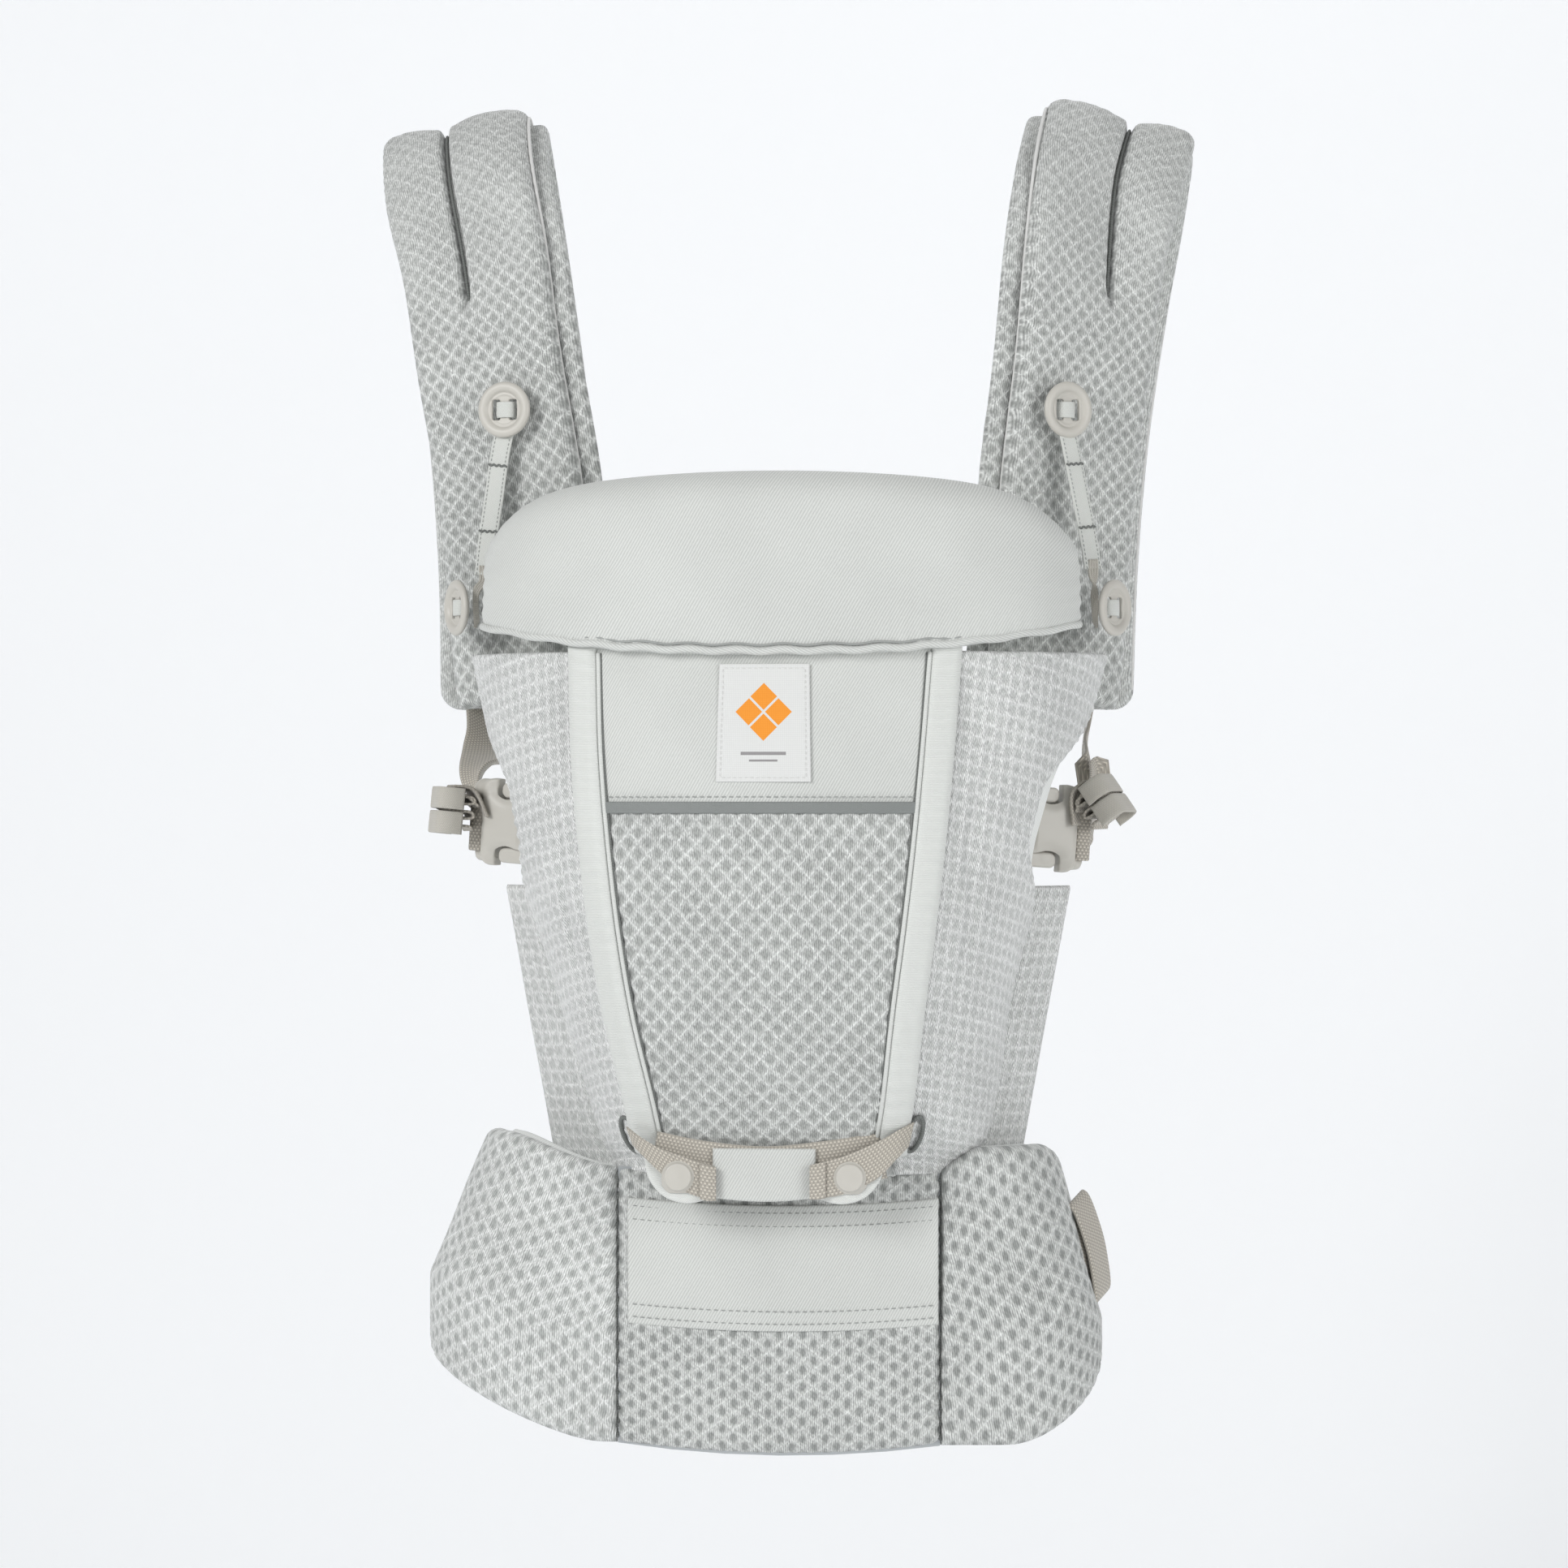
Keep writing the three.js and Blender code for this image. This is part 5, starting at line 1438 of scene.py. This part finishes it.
def make_side_webbing():
    for hand, side in SIDES.items():
        slide, across, normal, origin = buckle_frames()[f"side_{hand}"]
        at = lambda x, z: origin + (slide * x + normal * z) * MM
        loop = [at(34, 3.4), at(38, 3.9), at(42, 2.9), at(43.2, 0), at(42, -2.9), at(38, -3.9), at(34, -3.4)]
        shift = across * (-3 if across[2] > 0 else 3) * MM
        ribbon(f"ladder_webbing_{hand}", [p + shift for p in loop], (across, across), 27 * MM,
               WEBBING_THICK, "webbing", step=0.7 * MM, ride_on=f"side_buckle_{hand}", slot="webbing")
        end = np.array(STRAPS[hand]["points"][-1]) * MM + np.array([side * 20 * MM, 0, 0])
        start = at(40, -5.2)
        route = [start, start + [side * 4 * MM, 9 * MM, 7 * MM], start + [side * 7 * MM, 40 * MM, 25 * MM],
                 end + [-side * 4 * MM, -14 * MM, -20 * MM], end + [0, 0, 8 * MM]]
        edge_on = (0.55, 0.8, 0.1) if side < 0 else (-0.08, 1.0, 0.0)
        web = ribbon(f"webbing_{hand}", route, ((0, 0.1, 1), edge_on), 25 * MM, WEBBING_THICK, "webbing",
                     twist=(0.10, 0.60), ride_on=None, slot="webbing", replaces=(f"side_webbing_{hand}",))
        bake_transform(web)
        make_tail(hand, side, at(43, 0))
        make_anchor(hand, side, at)


def make_anchor(hand, side, at):
    """The short webbing from a side buckle's plug to the panel, sewn in between its mesh and lining."""
    height = BUCKLE_ORIGINS[f"side_{hand}"][0][2] * MM
    sewn = panel_place(np.array(side * 0.70), np.array(height))
    inward = np.array([-side * 0.75, 0.66, 0.0])
    end = sewn + inward * 5 * MM
    middle = lerp(at(-17, 0), end, 0.45) + np.array([side * 4 * MM, 0, 0])
    ribbon(f"anchor_webbing_{hand}", [at(-9, 0), at(-16, 0), middle, end], (UP, UP), 24 * MM,
           WEBBING_THICK, "webbing", step=1.0 * MM, slot="webbing")


def make_tail(hand, side, start):
    """The spare webbing beyond a buckle: folded to and fro, and held by two elastic keepers."""
    lift_angle = math.radians(6 if side < 0 else 38)
    out = unit(np.array([side * math.cos(lift_angle), -0.32, math.sin(lift_angle)]))
    depth = unit(np.array([side * 0.35, 0.93, 0.0]))
    rise = unit(np.cross(depth, out) * side)
    rise = rise if rise[2] > 0 else -rise
    base = start + np.array([side * 1.0, -6.0, 4.0 if side < 0 else 9.0]) * MM
    place = lambda a, b: base + (out * a + rise * b) * MM
    folds = [place(-3, 3), place(6, 9)]
    near, far = 1.0, 15.0
    for layer in range(5):
        height = 8.5 - layer * 3.9
        order = (far, near) if layer % 2 == 0 else (near, far)
        bend = 1.3 if order[1] == far else -1.3
        folds += [place(order[0], height), place((near + far) / 2, height - 0.6), place(order[1], height - 1)]
        folds += [place(order[1] + bend, height - 2.9)]
    words = dict(ride_on=f"side_buckle_{hand}", slot="webbing")
    ribbon(f"tail_folds_{hand}", folds, (depth, depth), 22 * MM, 1.5 * MM, "webbing", step=0.6 * MM,
           replaces=(f"webbing_tail_{hand}",), **words)
    back = [place(-8, -2), place(2, 12.5), place(12, 13)]
    ribbon(f"tail_cover_{hand}", back, (depth, depth), 25 * MM, WEBBING_THICK, "webbing", step=0.8 * MM,
           **words)
    for number, (low, high) in enumerate(((0.6, 12.2), (-12.6, -0.6))):
        middle = (low + high) / 2
        around = [(6, 12.5), (13, 13.0), (18.2, 10.5), (19.2, 0), (18.2, -10.5), (13, -13.0), (6, -12.5)]
        points = [base + (out * a + rise * middle + depth * b) * MM for a, b in around]
        ribbon(f"keeper_{number + 1}_{hand}", points, (rise, rise), (high - low) * MM, 1.6 * MM, "elastic",
               step=0.7 * MM, **words)


def make_back_webbing():
    _, waist_y, waist_z = np.array(WAIST_BUCKLE) * MM
    _, chest_y, chest_z = np.array(CHEST_BUCKLE) * MM
    for hand, wing in WINGS.items():
        side = wing["side"]
        inner = wing_place(wing, np.array(1.0), np.array(0.5), 8 * MM)
        stop = 4 * MM - 42 * WAIST_SIZE * MM if side < 0 else 4 * MM + 16 * WAIST_SIZE * MM
        route = [inner + [0, -4 * MM, 0], inner + [-side * 22 * MM, 30 * MM, 0],
                 [(inner[0] + stop) / 2, waist_y - 6 * MM, waist_z], [stop, waist_y, waist_z]]
        ribbon(f"waist_web_{hand}", route, (UP, UP), 38 * MM, 2 * MM, "webbing",
               ride_on=f"belt_wing_{hand}", slot="webbing", replaces=(f"waist_webbing_{hand}",))
        stop = 4 * MM - 42 * CHEST_SIZE * MM if side < 0 else 4 * MM + 15 * CHEST_SIZE * MM
        far = STRAPS[hand]["points"][-2][0] * MM
        route = [(far + side * 31 * MM, chest_y - 2 * MM, chest_z), (far - side * 20 * MM, chest_y, chest_z),
                 (stop, chest_y, chest_z)]
        ribbon(f"chest_web_{hand}", route, (UP, UP), 20 * MM, 1.6 * MM, "webbing",
               ride_on="chest_strap" if side < 0 else "chest_strap_right", slot="webbing",
               replaces=(f"chest_webbing_{hand}",))
    make_waist_roll()


def make_waist_roll():
    """The end of the waist webbing, folded flat to and fro against the right wing."""
    wing = WINGS["right"]
    high = wing_place(wing, np.array(0.52), np.array(0.82), -3 * MM)
    low = wing_place(wing, np.array(0.60), np.array(0.16), -3 * MM)
    down = unit(low - high)
    depth = np.array([0.37, 0.93, 0.0])
    depth = unit(depth - down * np.dot(depth, down))
    facing = np.cross(down, depth)
    facing = facing if facing[1] < 0 else -facing
    top, bottom, half = 4 * MM, 57 * MM, 2.0 * MM
    run = (top, top + 20 * MM, bottom - 18 * MM, bottom)
    spots = [(at, -1) for at in run] + [(bottom + half, 0)] + [(at, 1) for at in run[::-1]]
    spots += [(top - half, 0)]
    bow = lambda at: 3.5 * MM * math.sin(math.pi * min(max(at / bottom, 0), 1))
    points = [high + down * at + facing * (layer * half + bow(at)) for at, layer in spots]
    ribbon("waist_roll", points, (depth, depth), 24 * MM, 2.2 * MM, "webbing", step=1.0 * MM,
           ride_on="belt_wing_right", slot="webbing", replaces=("waist_webbing_roll",))


# ---------------------------------------------------------------- seat tabs

TAB_FRONT, TAB_CENTRE, SNAP_OFFSET, SNAP_HEIGHT = -52.0, -7.5, 44.5, 73.0  # millimetres

# upper and lower edges of each seat webbing, from its free end to its buttonhole, as x and z
SEAT_WEB = {
    "left": ([(-33, 78.5), (-45, 82), (-62, 88), (-73, 94), (-80, 98.5)],
             [(-33, 60.5), (-48, 65), (-62, 75.5), (-71, 84), (-76, 88.5)]),
    "right": ([(17, 79.5), (32, 83.5), (50, 91), (62, 97.5), (70, 101.5)],
              [(17, 61.5), (34, 64.5), (51, 72.5), (61, 82.5), (67, 89)]),
}
SLOTS = {"left": (-79.5, 93.0), "right": (69.5, 94.5)}  # x and z of the buttonholes
TAB_X = mm(-34.5, 19)
TAB_Z = mm(62.5, 87.5)


def strip_between(name, low, high, depths, thick, material, **words):
    """Flat tape whose two edges follow curves of x and z, at the given depths in y."""
    count = 60
    edges = []
    for curve in (low, high):
        depth = np.interp(np.linspace(0, 1, len(curve)), np.linspace(0, 1, len(depths)), depths)
        points = [(x, y, z) for (x, z), y in zip(curve, depth)]
        edges.append(along(np.array(points) * MM, count)[0])
    u = edge_spaced(12, 0.05, 3)[:, None, None]
    grid = lerp(edges[0][None], edges[1][None], u)
    grid = grid if grid_normals(grid)[6, 30, 1] < 0 else grid[::-1]
    return pad(name, grid, thick / 2, thick / 2, (thick * 0.6,) * 4, material, **words)


def cap_shape(x, y, z):
    """The domed cap of a snap fastener."""
    plate = rounded_plate(x, y, z, (0, 0, 0), (7.2, 7.2, 1.3), 7.1, 1.0)
    return joined(plate, np.sqrt(x**2 + y**2 + (z + 11.4) ** 2) - 13.2, 0.8)


def make_seat_tabs():
    u, v = edge_spaced(70, 0.02), edge_spaced(26, 0.05)
    x = np.broadcast_to(lerp(*TAB_X, u)[:, None], (len(u), len(v)))
    dip = 2.5 * MM * (1 - ((x + 8 * MM) / (30 * MM)) ** 2) * (1 - v[None, :])
    z = lerp(*TAB_Z, v)[None, :] - dip
    y = -52.6 * MM + 1.0 * MM * waves(x, z, 81, low=20, high=60)
    tab = pad("seat_tab_cloth", np.stack([x, y, z], axis=-1), 1.2 * MM, 1.2 * MM, (1.5 * MM,) * 4, "twill",
              slot="cotton_twill")
    strip = [(-66, -47.8, 84), (-42, -50.2, 79.5), (-8, -50.6, 76.5), (25, -50.2, 79.5), (54, -47.8, 84)]
    ribbon("seat_tab_back_webbing", np.array(strip) * MM, (UP, UP), 24 * MM, 1.6 * MM, "webbing",
           slot="webbing", replaces=("seat_tab_center",))
    cap = sampled(cap_shape, (-8, -8, -2), (8, 8, 3), 0.25)
    for hand, side in SIDES.items():
        snap = TAB_CENTRE + side * SNAP_OFFSET
        body = f"seat_tab_{hand}"
        front = TAB_FRONT - 4.6
        high, low = SEAT_WEB[hand]
        depths = (front, front - 0.4, front, front + 2.2, front + 7.5)
        strip_between(f"seat_web_{hand}", low, high, depths, WEBBING_THICK, "webbing", ride_on=body,
                      slot="webbing", replaces=(f"seat_tab_webbing_{hand}",))
        end, top, bottom = high[0][0], high[0][1], low[0][1]
        outs = [end + side * out for out in (-0.8, 3.4, 7.6)]
        fold_high = list(zip(outs, (top - 0.4, top + 0.6, top + 1.8)))
        fold_low = list(zip(outs, (bottom + 0.2, bottom + 0.2, bottom + 1.0)))
        strip_between(f"seat_web_fold_{hand}", fold_low, fold_high, (front - 1.2, front - 2.5, front - 1.9),
                      1.5 * MM, "webbing", ride_on=body, slot="webbing")
        face = np.array([0.0, -1.0, 0.0])
        rows = placement((snap, TAB_FRONT - 7.0, SNAP_HEIGHT), (1.0, 0.0, 0.0), face)
        moulded(f"snap_{hand}", cap, rows, ride_on=body, replaces=(f"snap_cap_{hand}",))
        rows = placement((snap, TAB_FRONT - 1.9, SNAP_HEIGHT), (1.0, 0.0, 0.0), face, 0.85)
        moulded(f"snap_socket_{hand}", cap, rows, replaces=(f"snap_stud_{hand}",))
        make_slot(hand, side)
        make_binding_end(hand, side)


def make_slot(hand, side):
    """The oval buttonhole that the seat webbing comes out of, whipped with close stitches."""
    x0, z0 = SLOTS[hand]
    points = []
    for angle in np.linspace(0, 2 * math.pi, 25):
        across, up = 3.6 * math.cos(angle), 9.8 * math.sin(angle)
        lean = 0.34 * side
        x = (x0 + across * math.cos(lean) + up * math.sin(lean)) * MM
        z = (z0 + up * math.cos(lean) - across * math.sin(lean)) * MM
        points.append(panel_place(panel_turn(np.array(x), np.array(z)), np.array(z)) + [0.0, -0.9 * MM, 0.0])
    tube(f"slot_rim_{hand}", points, 1.2 * MM, "seam", 8, 90, slot="air_mesh")


def make_binding_end(hand, side):
    """The loose end of the satin binding, folded below the snap."""
    front = TAB_FRONT - 3.6
    outer = [(63, 84), (60, 71.5), (52, 62.5), (40, 59.0), (26, 62.0)]
    inner = [(51, 80), (47, 73.0), (42, 68.5), (35, 66.0), (26, 66.5)]
    low, high = ([(TAB_CENTRE + side * x, z) for x, z in edge] for edge in (outer, inner))
    depths = (front + 4.5, front + 1.2, front + 0.3, front + 0.6, front + 1.6)
    strip_between(f"binding_end_{hand}", low, high, depths, 2.0 * MM, "satin", slot="satin_binding")


# ---------------------------------------------------------------- run

make_belt()
make_wings()
make_panel_centre()
make_bindings()
make_side_panels()
make_panel_lining()
make_seat_wings()
make_pillow()
make_straps()
make_buttons()
make_tapes()
make_buckles()
make_side_webbing()
make_back_webbing()
make_seat_tabs()

for name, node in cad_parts.items():
    kind = "plastic" if any(w in name for w in ("buckle", "prong", "button", "snap")) else "webbing"
    node.data.materials.clear()
    node.data.materials.append(MATERIALS["foam" if "foam" in name else kind])
